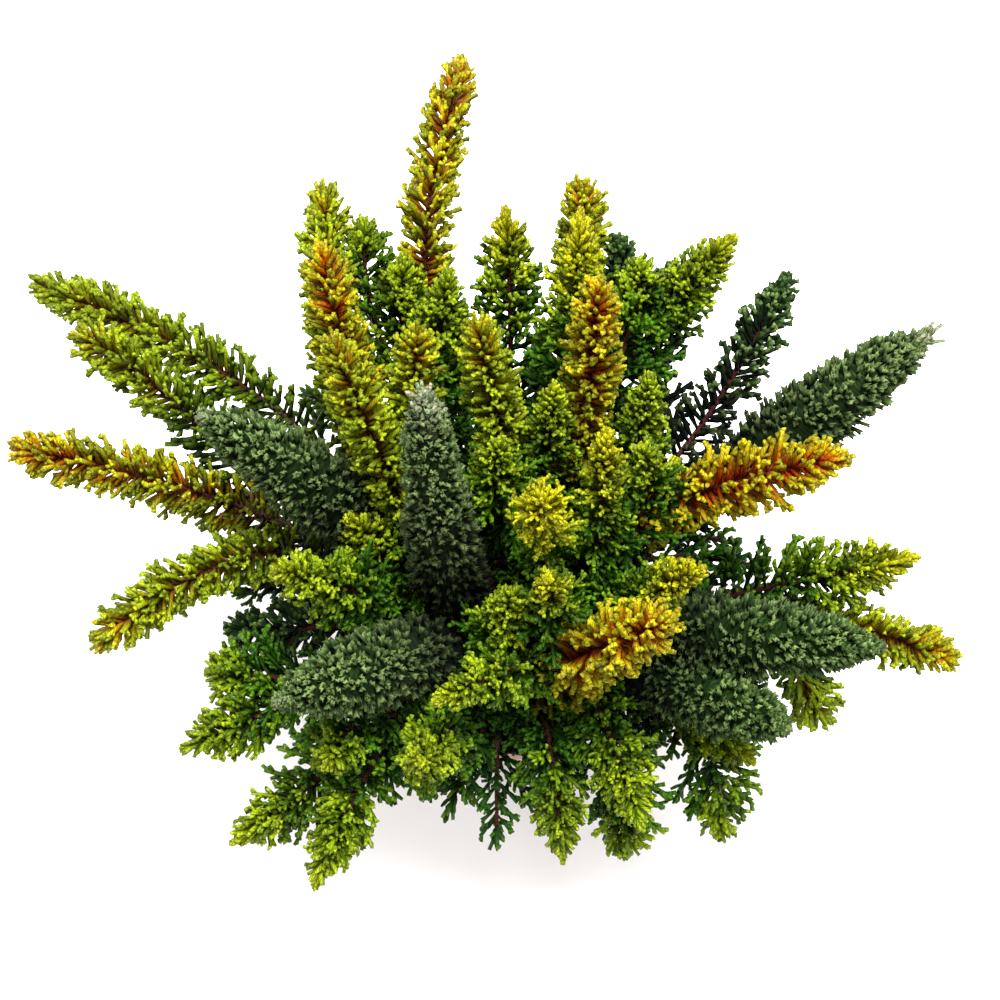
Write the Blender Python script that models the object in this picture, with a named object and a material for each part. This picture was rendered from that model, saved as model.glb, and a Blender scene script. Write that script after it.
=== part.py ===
"""Potted foliage heather: a clay-coloured plastic nursery pot, its peat, and leafy shoots standing in the peat.

Metres, +Z up. The origin is the middle of the pot's flat underside, where it stands.
A shoot is a thin woody stem with short leafy side twigs all round it. Its line is a parabola through three
points: where it leaves the peat, its waist and its tip. Lines that would cross are bent clear of each other.
"""

import math

import bmesh
import bpy
import numpy as np

# Pot, a plain 10.5 cm nursery pot
POT_HEIGHT = 0.095
POT_RIM_RADIUS = 0.0525
POT_BASE_RADIUS = 0.038
POT_WALL = 0.0020
POT_FLOOR = 0.0024
RIM_BAND = 0.014
RIM_STEP = 0.0022
EDGE_RADIUS = 0.0012
POT_SIDES = 28
DRAIN_HOLES = 6
DRAIN_RADIUS = 0.0045
DRAIN_CIRCLE = 0.024

# Peat
PEAT_EDGE = 0.083
PEAT_CROWN = 0.003
PEAT_GAP = 0.0004
PEAT_SIDES = 22
PEAT_RINGS = (0.55,)
HOLE_SIDES = 4
HOLE_DEPTH = 0.012
HOLE_PLAY = 0.0005
SEAT_GAP = 0.0003

# Stems and their spacing
STEM_RADIUS = 0.0014
ROOT_REACH = 0.42
ROOT_LIMIT = 0.042
ROOT_SPACING = 0.0058
LINE_POINTS = 15
BEND_ROUNDS = 90
FORCE_BLURS = 4
AIR_GAP = 0.0006
SHORTEST_TWIG = 0.0012
FORK_CLEAR = 0.010
FORK_TAPER = 0.72

# The sizes of each kind of shoot: core radius low down and at the tip, twig length low, middle and at the tip,
# number of sides, step between rings, share of the stem that is bare, and the twigs' lean from the stem in degrees
KINDS = {
    "gold": {
        "core": (0.0013, 0.0009),
        "twig": (0.0120, 0.0100, 0.0060),
        "sides": 3,
        "step": 0.0058,
        "bare": 0.26,
        "lean": 42,
    },
    "lime": {
        "core": (0.0014, 0.0008),
        "twig": (0.0135, 0.0115, 0.0045),
        "sides": 3,
        "step": 0.0061,
        "bare": 0.22,
        "lean": 42,
    },
    "dark": {
        "core": (0.0013, 0.0008),
        "twig": (0.0120, 0.0110, 0.0050),
        "sides": 3,
        "step": 0.0066,
        "bare": 0.18,
        "lean": 46,
    },
    "silver": {
        "core": (0.0030, 0.0024),
        "twig": (0.0105, 0.0120, 0.0080),
        "sides": 4,
        "step": 0.0063,
        "bare": 0.32,
        "lean": 54,
    },
}
LEAN_SPREAD = 9
TURN_SPREAD = 16
LENGTH_SPREAD = (0.78, 1.15)

# Every shoot: number, kind, tip and waist. A point is a bearing in degrees from +X, a reach from the pot's
# axis in millimetres and a height above the table in millimetres.
SHOOTS = [
    (1, "gold", (93, 146, 195), (102, 94, 175)),
    (2, "gold", (115, 116, 195), (127, 79, 180)),
    (3, "gold", (123, 88, 222), (131, 64, 195)),
    (4, "gold", (138, 59, 240), (151, 38, 210)),
    (5, "lime", (111, 108, 180), (116, 82, 160)),
    (6, "lime", (107, 88, 190), (111, 74, 165)),
    (7, "lime", (99, 76, 200), (105, 61, 175)),
    (8, "lime", (87, 99, 190), (85, 73, 165)),
    (9, "gold", (75, 114, 185), (70, 93, 160)),
    (10, "lime", (73, 91, 215), (67, 65, 190)),
    (11, "gold", (61, 61, 245), (50, 44, 210)),
    (12, "silver", (68, 104, 172), (63, 84, 150)),
    (13, "lime", (61, 92, 192), (55, 76, 165)),
    (14, "silver", (58, 109, 158), (47, 79, 140)),
    (15, "lime", (49, 112, 200), (54, 83, 170)),
    (16, "silver", (42, 125, 170), (32, 77, 150)),
    (17, "silver", (23, 141, 192), (20, 94, 165)),
    (18, "gold", (4, 98, 228), (5, 60, 200)),
    (19, "lime", (356, 126, 178), (352, 86, 155)),
    (20, "gold", (344, 142, 170), (348, 103, 150)),
    (21, "silver", (338, 115, 210), (334, 77, 185)),
    (22, "silver", (322, 103, 198), (322, 74, 170)),
    (23, "gold", (333, 113, 140), (339, 100, 146)),
    (24, "lime", (309, 109, 128), (319, 84, 140)),
    (25, "lime", (320, 101, 150), (321, 63, 140)),
    (26, "lime", (296, 96, 165), (302, 61, 155)),
    (27, "lime", (294, 98, 125), (300, 73, 135)),
    (28, "lime", (282, 95, 148), (286, 59, 150)),
    (29, "dark", (270, 86, 128), (270, 61, 135)),
    (30, "dark", (259, 81, 140), (263, 56, 140)),
    (31, "dark", (253, 74, 120), (254, 52, 125)),
    (32, "lime", (254, 75, 200), (254, 58, 150)),
    (33, "lime", (242, 114, 155), (240, 73, 150)),
    (34, "lime", (228, 117, 150), (232, 84, 145)),
    (35, "lime", (212, 111, 150), (215, 76, 145)),
    (36, "lime", (202, 94, 152), (212, 69, 145)),
    (37, "silver", (224, 82, 215), (235, 47, 180)),
    (38, "lime", (235, 84, 178), (233, 62, 160)),
    (39, "silver", (194, 85, 140), (197, 63, 135)),
    (40, "gold", (196, 121, 180), (187, 87, 175)),
    (41, "lime", (199, 64, 220), (205, 45, 185)),
    (42, "gold", (170, 144, 188), (169, 90, 165)),
    (43, "gold", (150, 161, 180), (146, 98, 165)),
    (44, "gold", (154, 137, 192), (157, 97, 170)),
    (45, "silver", (164, 84, 222), (170, 45, 185)),
    (46, "silver", (142, 22, 265), (203, 16, 215)),
    (47, "gold", (115, 47, 238), (132, 33, 200)),
    (48, "gold", (95, 43, 242), (85, 26, 205)),
    (49, "lime", (316, 17, 255), (321, 19, 215)),
    (50, "lime", (20, 33, 242), (354, 31, 205)),
    (51, "lime", (17, 44, 222), (1, 43, 190)),
    (52, "lime", (39, 59, 212), (31, 50, 180)),
    (53, "lime", (296, 32, 235), (298, 34, 195)),
    (54, "lime", (336, 62, 232), (330, 49, 195)),
    (55, "gold", (319, 62, 238), (305, 49, 200)),
    (56, "lime", (254, 60, 215), (282, 40, 180)),
    (57, "lime", (281, 28, 220), (274, 31, 185)),
    (58, "lime", (59, 35, 225), (51, 25, 190)),
    (59, "lime", (81, 14, 225), (71, 7, 190)),
    (60, "lime", (179, 42, 195), (190, 28, 165)),
    (61, "dark", (0, 88, 128), (4, 62, 130)),
    (62, "dark", (28, 86, 118), (26, 62, 122)),
    (63, "dark", (78, 88, 122), (74, 62, 126)),
    (64, "dark", (104, 86, 118), (100, 62, 124)),
    (65, "dark", (134, 90, 122), (130, 62, 126)),
    (66, "dark", (160, 88, 116), (162, 62, 122)),
    (67, "dark", (182, 84, 118), (180, 60, 122)),
    (68, "dark", (220, 84, 112), (222, 60, 118)),
    (69, "dark", (284, 80, 112), (284, 58, 116)),
    (70, "dark", (328, 86, 114), (328, 60, 118)),
    (71, "dark", (240, 72, 108), (236, 56, 114)),
    (72, "dark", (263, 70, 108), (260, 54, 113)),
    (73, "dark", (299, 72, 108), (294, 56, 113)),
    (74, "dark", (313, 74, 109), (318, 57, 115)),
    (75, "dark", (48, 84, 124), (42, 64, 126)),
    (76, "dark", (196, 78, 108), (192, 58, 115)),
    (77, "dark", (262, 34, 142), (250, 26, 122)),
    (78, "dark", (300, 44, 136), (305, 34, 118)),
    (79, "dark", (232, 48, 132), (228, 38, 118)),
    (80, "dark", (285, 52, 124), (280, 42, 112)),
    (81, "dark", (330, 48, 134), (335, 36, 116)),
]

# Side shoot: the main shoot that it forks from, and how far up that shoot, as a share of its length.
FORKS = {
    24: (25, 0.42),
    27: (26, 0.40),
    29: (30, 0.38),
    38: (33, 0.45),
    14: (16, 0.40),
    51: (50, 0.40),
    5: (6, 0.40),
    44: (42, 0.42),
    53: (57, 0.40),
    59: (58, 0.42),
    36: (35, 0.45),
    13: (10, 0.45),
    23: (20, 0.55),
    71: (68, 0.40),
    72: (31, 0.40),
    73: (69, 0.40),
    74: (70, 0.40),
    75: (62, 0.40),
    76: (67, 0.40),
    77: (32, 0.30),
    78: (55, 0.28),
    79: (37, 0.28),
    80: (28, 0.30),
    81: (22, 0.28),
}

COLOURS = {
    "gold": (0.55, 0.38, 0.06, 0.75),
    "lime": (0.34, 0.42, 0.05, 0.75),
    "dark": (0.06, 0.16, 0.04, 0.80),
    "silver": (0.13, 0.22, 0.15, 0.85),
    "peat": (0.06, 0.035, 0.022, 0.95),
    "pot": (0.40, 0.17, 0.09, 0.55),
}


def material(name):
    """A Principled material: red, green, blue and roughness, none of them metal."""
    made = bpy.data.materials.get(name)
    if made is None:
        red, green, blue, roughness = COLOURS[name]
        made = bpy.data.materials.new(name)
        made.use_nodes = True
        shader = made.node_tree.nodes["Principled BSDF"]
        shader.inputs["Base Color"].default_value = (red, green, blue, 1)
        shader.inputs["Roughness"].default_value = roughness
        shader.inputs["Metallic"].default_value = 0
    return made


def add_object(name, bm, finish, smooth_angle=None):
    """A mesh object made from bm, with its finish, shaded smooth below smooth_angle where one is given."""
    mesh = bpy.data.meshes.new(name)
    bmesh.ops.recalc_face_normals(bm, faces=bm.faces)
    bm.to_mesh(mesh)
    bm.free()
    if smooth_angle is not None:
        mesh.shade_smooth()
        mesh.set_sharp_from_angle(angle=smooth_angle)
    obj = bpy.data.objects.new(name, mesh)
    obj.data.materials.append(material(finish))
    bpy.context.scene.collection.objects.link(obj)
    return obj


def cut(target, cutters):
    """Subtracts closed cutter objects from target and keeps them as hidden wire guides."""
    group = bpy.data.collections.new(target.name + "_cutters")
    bpy.context.scene.collection.children.link(group)
    for cutter in cutters:
        bpy.context.scene.collection.objects.unlink(cutter)
        group.objects.link(cutter)
        cutter.hide_render = True
        cutter.display_type = "WIRE"
    boolean = target.modifiers.new("holes", "BOOLEAN")
    boolean.operation = "DIFFERENCE"
    boolean.operand_type = "COLLECTION"
    boolean.collection = group
    boolean.solver = "EXACT"


def turned(profile, sides):
    """A closed solid of revolution about Z from (radius, height) points that run from axis to axis."""
    bm = bmesh.new()
    points = [bm.verts.new((radius, 0, height)) for radius, height in profile]
    edges = [bm.edges.new(pair) for pair in zip(points, points[1:])]
    bmesh.ops.spin(
        bm, geom=points + edges, cent=(0, 0, 0), axis=(0, 0, 1), angle=2 * math.pi, steps=sides, use_merge=True
    )
    bmesh.ops.remove_doubles(bm, verts=bm.verts, dist=1e-6)
    return bm


def cylinder(name, radius, low, high, place, sides):
    """A closed upright cylinder object between two heights, used as a cutter."""
    bm = bmesh.new()
    bmesh.ops.create_cone(
        bm, cap_ends=True, segments=sides, radius1=radius, radius2=radius, depth=high - low
    )
    obj = add_object(name, bm, "peat")
    obj.location = (place[0], place[1], (low + high) / 2)
    return obj


def wall_radius(height):
    """The pot's outer radius under the rim band, where its side is a straight cone."""
    band_radius = POT_RIM_RADIUS - RIM_STEP
    share = height / (POT_HEIGHT - RIM_BAND)
    return POT_BASE_RADIUS + (band_radius - POT_BASE_RADIUS) * share


def make_pot():
    """The turned pot: flat floor, conical wall, stepped rim band with rounded edges, and six drain holes."""
    band_low = POT_HEIGHT - RIM_BAND
    inner_rim = POT_RIM_RADIUS - POT_WALL
    profile = [
        (0, 0),
        (POT_BASE_RADIUS - EDGE_RADIUS, 0),
        (POT_BASE_RADIUS, EDGE_RADIUS),
        (wall_radius(band_low), band_low),
        (POT_RIM_RADIUS - EDGE_RADIUS / 2, band_low),
        (POT_RIM_RADIUS, band_low + EDGE_RADIUS / 2),
        (POT_RIM_RADIUS, POT_HEIGHT - EDGE_RADIUS),
        (POT_RIM_RADIUS - EDGE_RADIUS / 2, POT_HEIGHT),
        (inner_rim + EDGE_RADIUS / 2, POT_HEIGHT),
        (inner_rim, POT_HEIGHT - EDGE_RADIUS / 2),
        (inner_rim, band_low + EDGE_RADIUS),
        (wall_radius(band_low) - POT_WALL, band_low - EDGE_RADIUS),
        (wall_radius(POT_FLOOR) - POT_WALL, POT_FLOOR),
        (0, POT_FLOOR),
    ]
    pot = add_object("pot", turned(profile, POT_SIDES), "pot", math.radians(30))
    drains = []
    for index in range(DRAIN_HOLES):
        angle = 2 * math.pi * index / DRAIN_HOLES
        place = (DRAIN_CIRCLE * math.cos(angle), DRAIN_CIRCLE * math.sin(angle))
        drains.append(
            cylinder(f"drain_{index + 1}", DRAIN_RADIUS, -POT_FLOOR, 2 * POT_FLOOR, place, 12)
        )
    cut(pot, drains)


def peat_height(radius):
    """The peat's surface, lowest at the wall and a little crowned in the middle."""
    share = min(1.0, radius / POT_RIM_RADIUS)
    return PEAT_EDGE + PEAT_CROWN * (1 - share**2)


def make_peat(roots):
    """The potful of peat, a gap clear of the pot all round, with a plain hole for each stem."""
    band_low = POT_HEIGHT - RIM_BAND
    floor = POT_FLOOR + PEAT_GAP
    side = POT_WALL + PEAT_GAP
    shrink = 1 / math.cos(math.pi / PEAT_SIDES)
    edge = (POT_RIM_RADIUS - side) / shrink
    profile = [
        (0, floor),
        ((wall_radius(floor) - side) / shrink - PEAT_GAP, floor),
        ((wall_radius(band_low) - side) / shrink - PEAT_GAP, band_low - EDGE_RADIUS),
        (edge - PEAT_GAP, band_low + EDGE_RADIUS + PEAT_GAP),
        (edge - PEAT_GAP, PEAT_EDGE),
    ]
    profile += [(edge * share, peat_height(edge * share)) for share in reversed(PEAT_RINGS)]
    profile.append((0, peat_height(0)))
    peat = add_object("peat", turned(profile, PEAT_SIDES), "peat")
    holes = []
    for number, (x, y) in roots.items():
        top = peat_height(math.hypot(x, y))
        radius = (STEM_RADIUS + HOLE_PLAY) / math.cos(math.pi / HOLE_SIDES)
        low = top - HOLE_DEPTH - SEAT_GAP
        holes.append(cylinder(f"hole_{number}", radius, low, POT_HEIGHT + HOLE_DEPTH, (x, y), HOLE_SIDES))
    cut(peat, holes)


def place(point):
    """A (bearing, reach, height) in degrees and millimetres, as a position in metres."""
    bearing, reach, height = point
    angle = math.radians(bearing)
    return np.array((reach * math.cos(angle), reach * math.sin(angle), height)) / 1000


def parabola(start, waist, end, shares):
    """The parabola through three points, with the waist met in proportion to the chords."""
    first, second = np.linalg.norm(waist - start), np.linalg.norm(end - waist)
    middle = first / (first + second)
    t = np.asarray(shares)[:, None]
    return (
        start * (t - middle) * (t - 1) / middle
        + waist * t * (t - 1) / (middle * (middle - 1))
        + end * t * (t - middle) / (1 - middle)
    )


def spread_roots():
    """Where each main stem leaves the peat: under its waist, nearer the middle, and pushed a spacing apart."""
    mains = [row for row in SHOOTS if row[0] not in FORKS]
    spots = np.array([place(waist)[:2] * ROOT_REACH for _, _, _, waist in mains])
    for _ in range(400):
        apart = spots[:, None] - spots[None]
        distance = np.linalg.norm(apart, axis=2) + np.eye(len(spots))
        short = np.clip(ROOT_SPACING - distance, 0, None) * (1 - np.eye(len(spots)))
        spots = spots + 0.45 * (apart / distance[..., None] * short[..., None]).sum(axis=1)
        reach = np.linalg.norm(spots, axis=1, keepdims=True)
        spots = spots * np.minimum(1, ROOT_LIMIT / np.maximum(reach, 1e-9))
    return {row[0]: spots[index] for index, row in enumerate(mains)}


def first_lines(roots):
    """Each shoot's line before any bending: evenly placed points from its foot to its tip."""
    shares = np.linspace(0, 1, LINE_POINTS)
    lines = {}
    for number, _, tip, waist in sorted(SHOOTS, key=lambda row: row[0] in FORKS):
        if number in FORKS:
            main, share = FORKS[number]
            start = lines[main][round(share * (LINE_POINTS - 1))]
        else:
            x, y = roots[number]
            start = np.array((x, y, peat_height(math.hypot(x, y)) + 2 * STEM_RADIUS))
        lines[number] = parabola(start, place(waist), place(tip), shares)
    return np.array([lines[row[0]] for row in SHOOTS])


def nearest(p0, p1, q0, q1):
    """Shortest way between segments p and q: the vector from q to p and the share along each."""
    u, v, w = p1 - p0, q1 - q0, p0 - q0
    a, b, c = (u * u).sum(-1), (u * v).sum(-1), (v * v).sum(-1)
    d, e = (u * w).sum(-1), (v * w).sum(-1)
    det = np.maximum(a * c - b * b, 1e-18)
    s = np.clip((b * e - c * d) / det, 0, 1)
    t = np.clip((b * s + e) / np.maximum(c, 1e-18), 0, 1)
    s = np.clip((b * t - d) / np.maximum(a, 1e-18), 0, 1)
    return w + s[..., None] * u - t[..., None] * v, s, t


def profiles(kind):
    """Core radius and twig length at each point of a line of this kind."""
    share = np.linspace(0, 1, LINE_POINTS)
    sizes = KINDS[kind]
    leafy = np.clip((share - sizes["bare"]) / (1 - sizes["bare"]), 0, 1)
    core = np.interp(leafy, (0, 0.25, 1), (STEM_RADIUS, *sizes["core"]))
    twig = np.interp(leafy, (0, 0.15, 0.6, 1), (0, *sizes["twig"]))
    return core, twig


def related(first, second):
    """True for a side shoot and its main shoot, or for two side shoots of one main shoot."""
    mains = [FORKS[n][0] if n in FORKS else n for n in (first, second)]
    return mains[0] == mains[1]


def bend_clear(lines):
    """Pushes lines of different plants apart where their cores, and some of their twigs, would meet.
    Feet and tips stay; a push fades smoothly along the line, so that the curves stay curves."""
    count = len(SHOOTS)
    sizes = [profiles(row[1]) for row in SHOOTS]
    core = np.array([s[0] for s in sizes])
    twig = np.array([s[1] for s in sizes])
    apart = np.array([[not related(a[0], b[0]) for b in SHOOTS] for a in SHOOTS])
    spans = LINE_POINTS - 1
    owner = np.repeat(np.arange(count), spans)
    span = np.tile(np.arange(spans), count)
    first, second = np.triu_indices(count * spans, 1)
    keep = apart[owner[first], owner[second]]
    first, second = first[keep], second[keep]
    wanted = (core[:, :-1] + 0.32 * twig[:, :-1]).reshape(-1)
    room = wanted[first] + wanted[second] + AIR_GAP
    loose = np.sin(np.linspace(0, math.pi, LINE_POINTS)) ** 0.5
    loose[-1] = 0.0
    for _ in range(BEND_ROUNDS):
        p0, p1 = lines[:, :-1].reshape(-1, 3), lines[:, 1:].reshape(-1, 3)
        middle = (p0 + p1) / 2
        reach = np.linalg.norm(p1 - p0, axis=1) / 2
        gap = np.linalg.norm(middle[first] - middle[second], axis=1) - reach[first] - reach[second]
        near = gap < room
        a, b, need = first[near], second[near], room[near]
        way, s, t = nearest(p0[a], p1[a], p0[b], p1[b])
        distance = np.linalg.norm(way, axis=1)
        push = np.clip(need - distance, 0, None) * 0.20
        step = way / np.maximum(distance, 1e-6)[:, None] * push[:, None]
        force = np.zeros_like(lines)
        for side, index, share in ((1, a, s), (-1, b, t)):
            np.add.at(force, (owner[index], span[index]), side * step * (1 - share)[:, None])
            np.add.at(force, (owner[index], span[index] + 1), side * step * share[:, None])
        for _ in range(FORCE_BLURS):
            force[:, 1:-1] = force[:, :-2] / 4 + force[:, 1:-1] / 2 + force[:, 2:] / 4
        lines = lines + np.clip(force, -0.0012, 0.0012) * loose[None, :, None]
        lines = reseat_forks(lines)
    return lines


def reseat_forks(lines):
    """Slides each side shoot's foot back onto its main shoot after a bend."""
    index = {row[0]: i for i, row in enumerate(SHOOTS)}
    fade = np.linspace(1, 0, LINE_POINTS)[:, None] ** 2
    for side, (main, share) in FORKS.items():
        foot = lines[index[main]][round(share * (LINE_POINTS - 1))]
        lines[index[side]] += (foot - lines[index[side]][0]) * fade
    return lines


def along(line, step):
    """Points every step along a line, its ends included, with the share of the length at each."""
    lengths = np.concatenate(([0], np.cumsum(np.linalg.norm(np.diff(line, axis=0), axis=1))))
    count = max(4, round(lengths[-1] / step))
    where = np.linspace(0, lengths[-1], count + 1)
    return np.stack([np.interp(where, lengths, line[:, k]) for k in range(3)], 1), where / lengths[-1]


def frames(points):
    """Tangent and two cross directions at each point, carried along so that they don't spin."""
    tangents = np.gradient(points, axis=0)
    tangents /= np.linalg.norm(tangents, axis=1, keepdims=True)
    side = np.cross(tangents[0], (0.0, 0.0, 1.0) if abs(tangents[0][2]) < 0.9 else (1.0, 0.0, 0.0))
    sides = []
    for tangent in tangents:
        side = side - tangent * (side @ tangent)
        side = side / np.linalg.norm(side)
        sides.append(side)
    sides = np.array(sides)
    return tangents, sides, np.cross(tangents, sides)


class Shoot:
    """One shoot's core rings, and the twigs that stand out of its faces."""

    def __init__(self, number, kind, line, forks):
        self.number = number
        self.sizes = KINDS[kind]
        self.forked = number in FORKS
        self.forks = forks
        self.points, self.shares = along(line, self.sizes["step"])
        if not self.forked:
            self.stand_in_hole()
        self.tangents, self.across, self.over = frames(self.points)
        core, twig = profiles(kind)
        line_shares = np.linspace(0, 1, LINE_POINTS)
        self.core = np.interp(self.shares, line_shares, core)
        self.reach = np.interp(self.shares, line_shares, twig)
        if self.forked:
            self.core[:3] *= np.linspace(FORK_TAPER, 1, 3)
        self.build_rings()

    def near_fork(self, ring):
        """True close to a fork, where twigs would crowd the joint."""
        return any(np.linalg.norm(self.points[ring] - fork) < FORK_CLEAR for fork in self.forks)

    def stand_in_hole(self):
        """Drops unneeded rings of the bare stem and adds an upright foot inside the peat's hole."""
        leafy = self.shares >= self.sizes["bare"] * 0.9
        bare = np.flatnonzero(~leafy)
        keep = np.concatenate((bare[1:-1:2], np.flatnonzero(leafy)))
        foot = self.points[0]
        top = peat_height(math.hypot(foot[0], foot[1]))
        upright = np.array([(foot[0], foot[1], top - HOLE_DEPTH), (foot[0], foot[1], top + STEM_RADIUS)])
        self.points = np.vstack((upright, self.points[keep]))
        self.shares = np.concatenate(((0, 0), self.shares[keep]))

    def build_rings(self):
        """Ring corners. Each ring is turned half a side from the last, which sets the twigs in crossed pairs."""
        sides = self.sizes["sides"]
        count = len(self.points)
        turn = (np.arange(count) % 2) * math.pi / sides
        angle = turn[:, None] + np.arange(sides)[None] * 2 * math.pi / sides
        self.rings = (
            self.points[:, None]
            + self.core[:, None, None]
            * (np.cos(angle)[..., None] * self.across[:, None] + np.sin(angle)[..., None] * self.over[:, None])
        )

    def faces(self):
        """The triangles between rings, each as ((ring, corner), ...), lower then upper row."""
        sides = self.sizes["sides"]
        found = []
        for ring in range(len(self.points) - 1):
            shift = ring % 2
            for k in range(sides):
                after = (k + 1) % sides
                if shift == 0:
                    found.append((ring, ((ring, k), (ring, after), (ring + 1, k))))
                    found.append((ring, ((ring, after), (ring + 1, after), (ring + 1, k))))
                else:
                    found.append((ring, ((ring, k), (ring, after), (ring + 1, after))))
                    found.append((ring, ((ring, k), (ring + 1, after), (ring + 1, k))))
        return found

    def twigs(self, rng):
        """For each face that may carry one: its corners, root and tip. Faces are taken in turn round the core."""
        made = []
        for index, (ring, corners) in enumerate(self.faces()):
            length = (self.reach[ring] + self.reach[ring + 1]) / 2
            if length < SHORTEST_TWIG or index % 2 or self.near_fork(ring):
                continue
            root = np.mean([self.rings[r][k] for r, k in corners], axis=0)
            middle = (self.points[ring] + self.points[ring + 1]) / 2
            tangent = self.tangents[ring]
            out = root - middle
            out = out - tangent * (out @ tangent)
            out = out / np.linalg.norm(out)
            turn = math.radians(rng.uniform(-TURN_SPREAD, TURN_SPREAD))
            out = out * math.cos(turn) + np.cross(tangent, out) * math.sin(turn)
            lean = math.radians(self.sizes["lean"] + rng.uniform(-LEAN_SPREAD, LEAN_SPREAD))
            length = length * rng.uniform(*LENGTH_SPREAD)
            tip = root + (out * math.sin(lean) + tangent * math.cos(lean)) * length
            made.append([corners, root, tip])
        last = len(self.points) - 1
        return made, self.points[last] + self.tangents[last] * self.sizes["twig"][2] * 0.8


def main_number(number):
    return FORKS[number][0] if number in FORKS else number


def clear_twigs(shoots, rng):
    """Shortens, and where it must drops, each twig that would come too near another plant's core or twig."""
    owners, starts, ends, low_radii, high_radii = [], [], [], [], []
    for shoot in shoots:
        for index in range(len(shoot.points) - 1):
            owners.append(main_number(shoot.number))
            starts.append(shoot.points[index])
            ends.append(shoot.points[index + 1])
            low_radii.append(shoot.core[index])
            high_radii.append(shoot.core[index + 1])
    kept = {}
    for shoot in shoots:
        made, tuft = shoot.twigs(rng)
        accepted = []
        known = [np.array(values) for values in (owners, starts, ends, low_radii, high_radii)]
        others = known[0] != main_number(shoot.number)
        others_start, others_end = known[1][others], known[2][others]
        others_low, others_high = known[3][others], known[4][others]
        for corners, root, tip in made:
            base = np.mean([np.linalg.norm(shoot.rings[r][k] - root) for r, k in corners]) * 0.8
            for share in (1.0, 0.75, 0.5, 0.3):
                end = root + (tip - root) * share
                way, s, t = nearest(root[None], end[None], others_start, others_end)
                limit = base * (1 - s) + others_low * (1 - t) + others_high * t + AIR_GAP
                if (np.linalg.norm(way, axis=1) > limit).all():
                    accepted.append((corners, end))
                    owners.append(main_number(shoot.number))
                    starts.append(root)
                    ends.append(end)
                    low_radii.append(base)
                    high_radii.append(0.0001)
                    break
        kept[shoot.number] = (accepted, tuft)
    return kept


def shoot_mesh(shoot, accepted, tuft):
    """The closed mesh: the ringed core, a pointed tuft at its tip, and each twig poked out of its face."""
    bm = bmesh.new()
    rings = [[bm.verts.new(corner) for corner in ring] for ring in shoot.rings]
    found = {}
    for _, corners in shoot.faces():
        found[corners] = bm.faces.new([rings[r][k] for r, k in corners])
    bm.faces.new(list(reversed(rings[0])))
    cap = bm.faces.new(rings[-1])
    point = bmesh.ops.poke(bm, faces=[cap])["verts"][0]
    point.co = tuft
    for corners, end in accepted:
        point = bmesh.ops.poke(bm, faces=[found[corners]])["verts"][0]
        point.co = end
    bmesh.ops.triangulate(bm, faces=bm.faces)
    return bm


def join_fork(main, sides):
    """Fuses side shoots into their main shoot with one Boolean union, then removes them."""
    group = bpy.data.collections.new(main.name + "_sides")
    bpy.context.scene.collection.children.link(group)
    for side in sides:
        bpy.context.scene.collection.objects.unlink(side)
        group.objects.link(side)
    boolean = main.modifiers.new("fork", "BOOLEAN")
    boolean.operation = "UNION"
    boolean.operand_type = "COLLECTION"
    boolean.collection = group
    boolean.solver = "MANIFOLD"
    graph = bpy.context.evaluated_depsgraph_get()
    joined = bpy.data.meshes.new_from_object(main.evaluated_get(graph))
    main.modifiers.remove(boolean)
    main.data = joined
    for side in sides:
        bpy.data.objects.remove(side)
    bpy.data.collections.remove(group)


def make_shoots(roots):
    """All shoots, their twigs kept clear of other plants, with each fork fused into one object."""
    rng = np.random.default_rng(7)
    lines = bend_clear(first_lines(roots))
    feet = {row[0]: line[0] for row, line in zip(SHOOTS, lines)}
    shoots = []
    for (number, kind, _, _), line in zip(SHOOTS, lines):
        forks = [feet[side] for side, (main, _) in FORKS.items() if number in (side, main)]
        shoots.append(Shoot(number, kind, line, forks))
    kept = clear_twigs(shoots, rng)
    objects = {}
    for shoot, (number, kind, _, _) in zip(shoots, SHOOTS):
        accepted, tuft = kept[number]
        objects[number] = add_object(f"{kind}_shoot_{number:02d}", shoot_mesh(shoot, accepted, tuft), kind)
    for main in sorted({fork[0] for fork in FORKS.values()}):
        sides = [objects[side] for side, fork in FORKS.items() if fork[0] == main]
        join_fork(objects[main], sides)


def main():
    for obj in list(bpy.data.objects):
        bpy.data.objects.remove(obj)
    roots = spread_roots()
    make_pot()
    make_peat(roots)
    make_shoots(roots)


main()
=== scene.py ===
"""Potted foliage heather, dressed: every shoot with its twigs and scale leaves, the peat and the pot.

Metres, +Z up. Each shoot's line is worked out as in the model, so that a leafy shoot stands
exactly where its plain solid stands, and then replaces it.
"""
import math

import bmesh
import bpy
import numpy as np
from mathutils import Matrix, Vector


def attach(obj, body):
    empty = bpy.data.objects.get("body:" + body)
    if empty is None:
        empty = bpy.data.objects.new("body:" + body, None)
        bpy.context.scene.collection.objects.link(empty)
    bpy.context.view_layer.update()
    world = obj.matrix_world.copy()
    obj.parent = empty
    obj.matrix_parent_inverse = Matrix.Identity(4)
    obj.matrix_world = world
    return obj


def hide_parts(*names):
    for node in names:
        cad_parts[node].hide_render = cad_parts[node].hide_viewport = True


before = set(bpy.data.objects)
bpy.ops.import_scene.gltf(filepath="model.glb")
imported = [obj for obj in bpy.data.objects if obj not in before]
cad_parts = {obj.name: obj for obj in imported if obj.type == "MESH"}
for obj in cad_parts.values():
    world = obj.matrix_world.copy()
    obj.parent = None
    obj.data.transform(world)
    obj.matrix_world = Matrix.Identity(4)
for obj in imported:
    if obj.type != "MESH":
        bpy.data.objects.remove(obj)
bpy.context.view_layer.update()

MM = 0.001
GOLDEN_ANGLE = math.radians(137.508)

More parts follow.
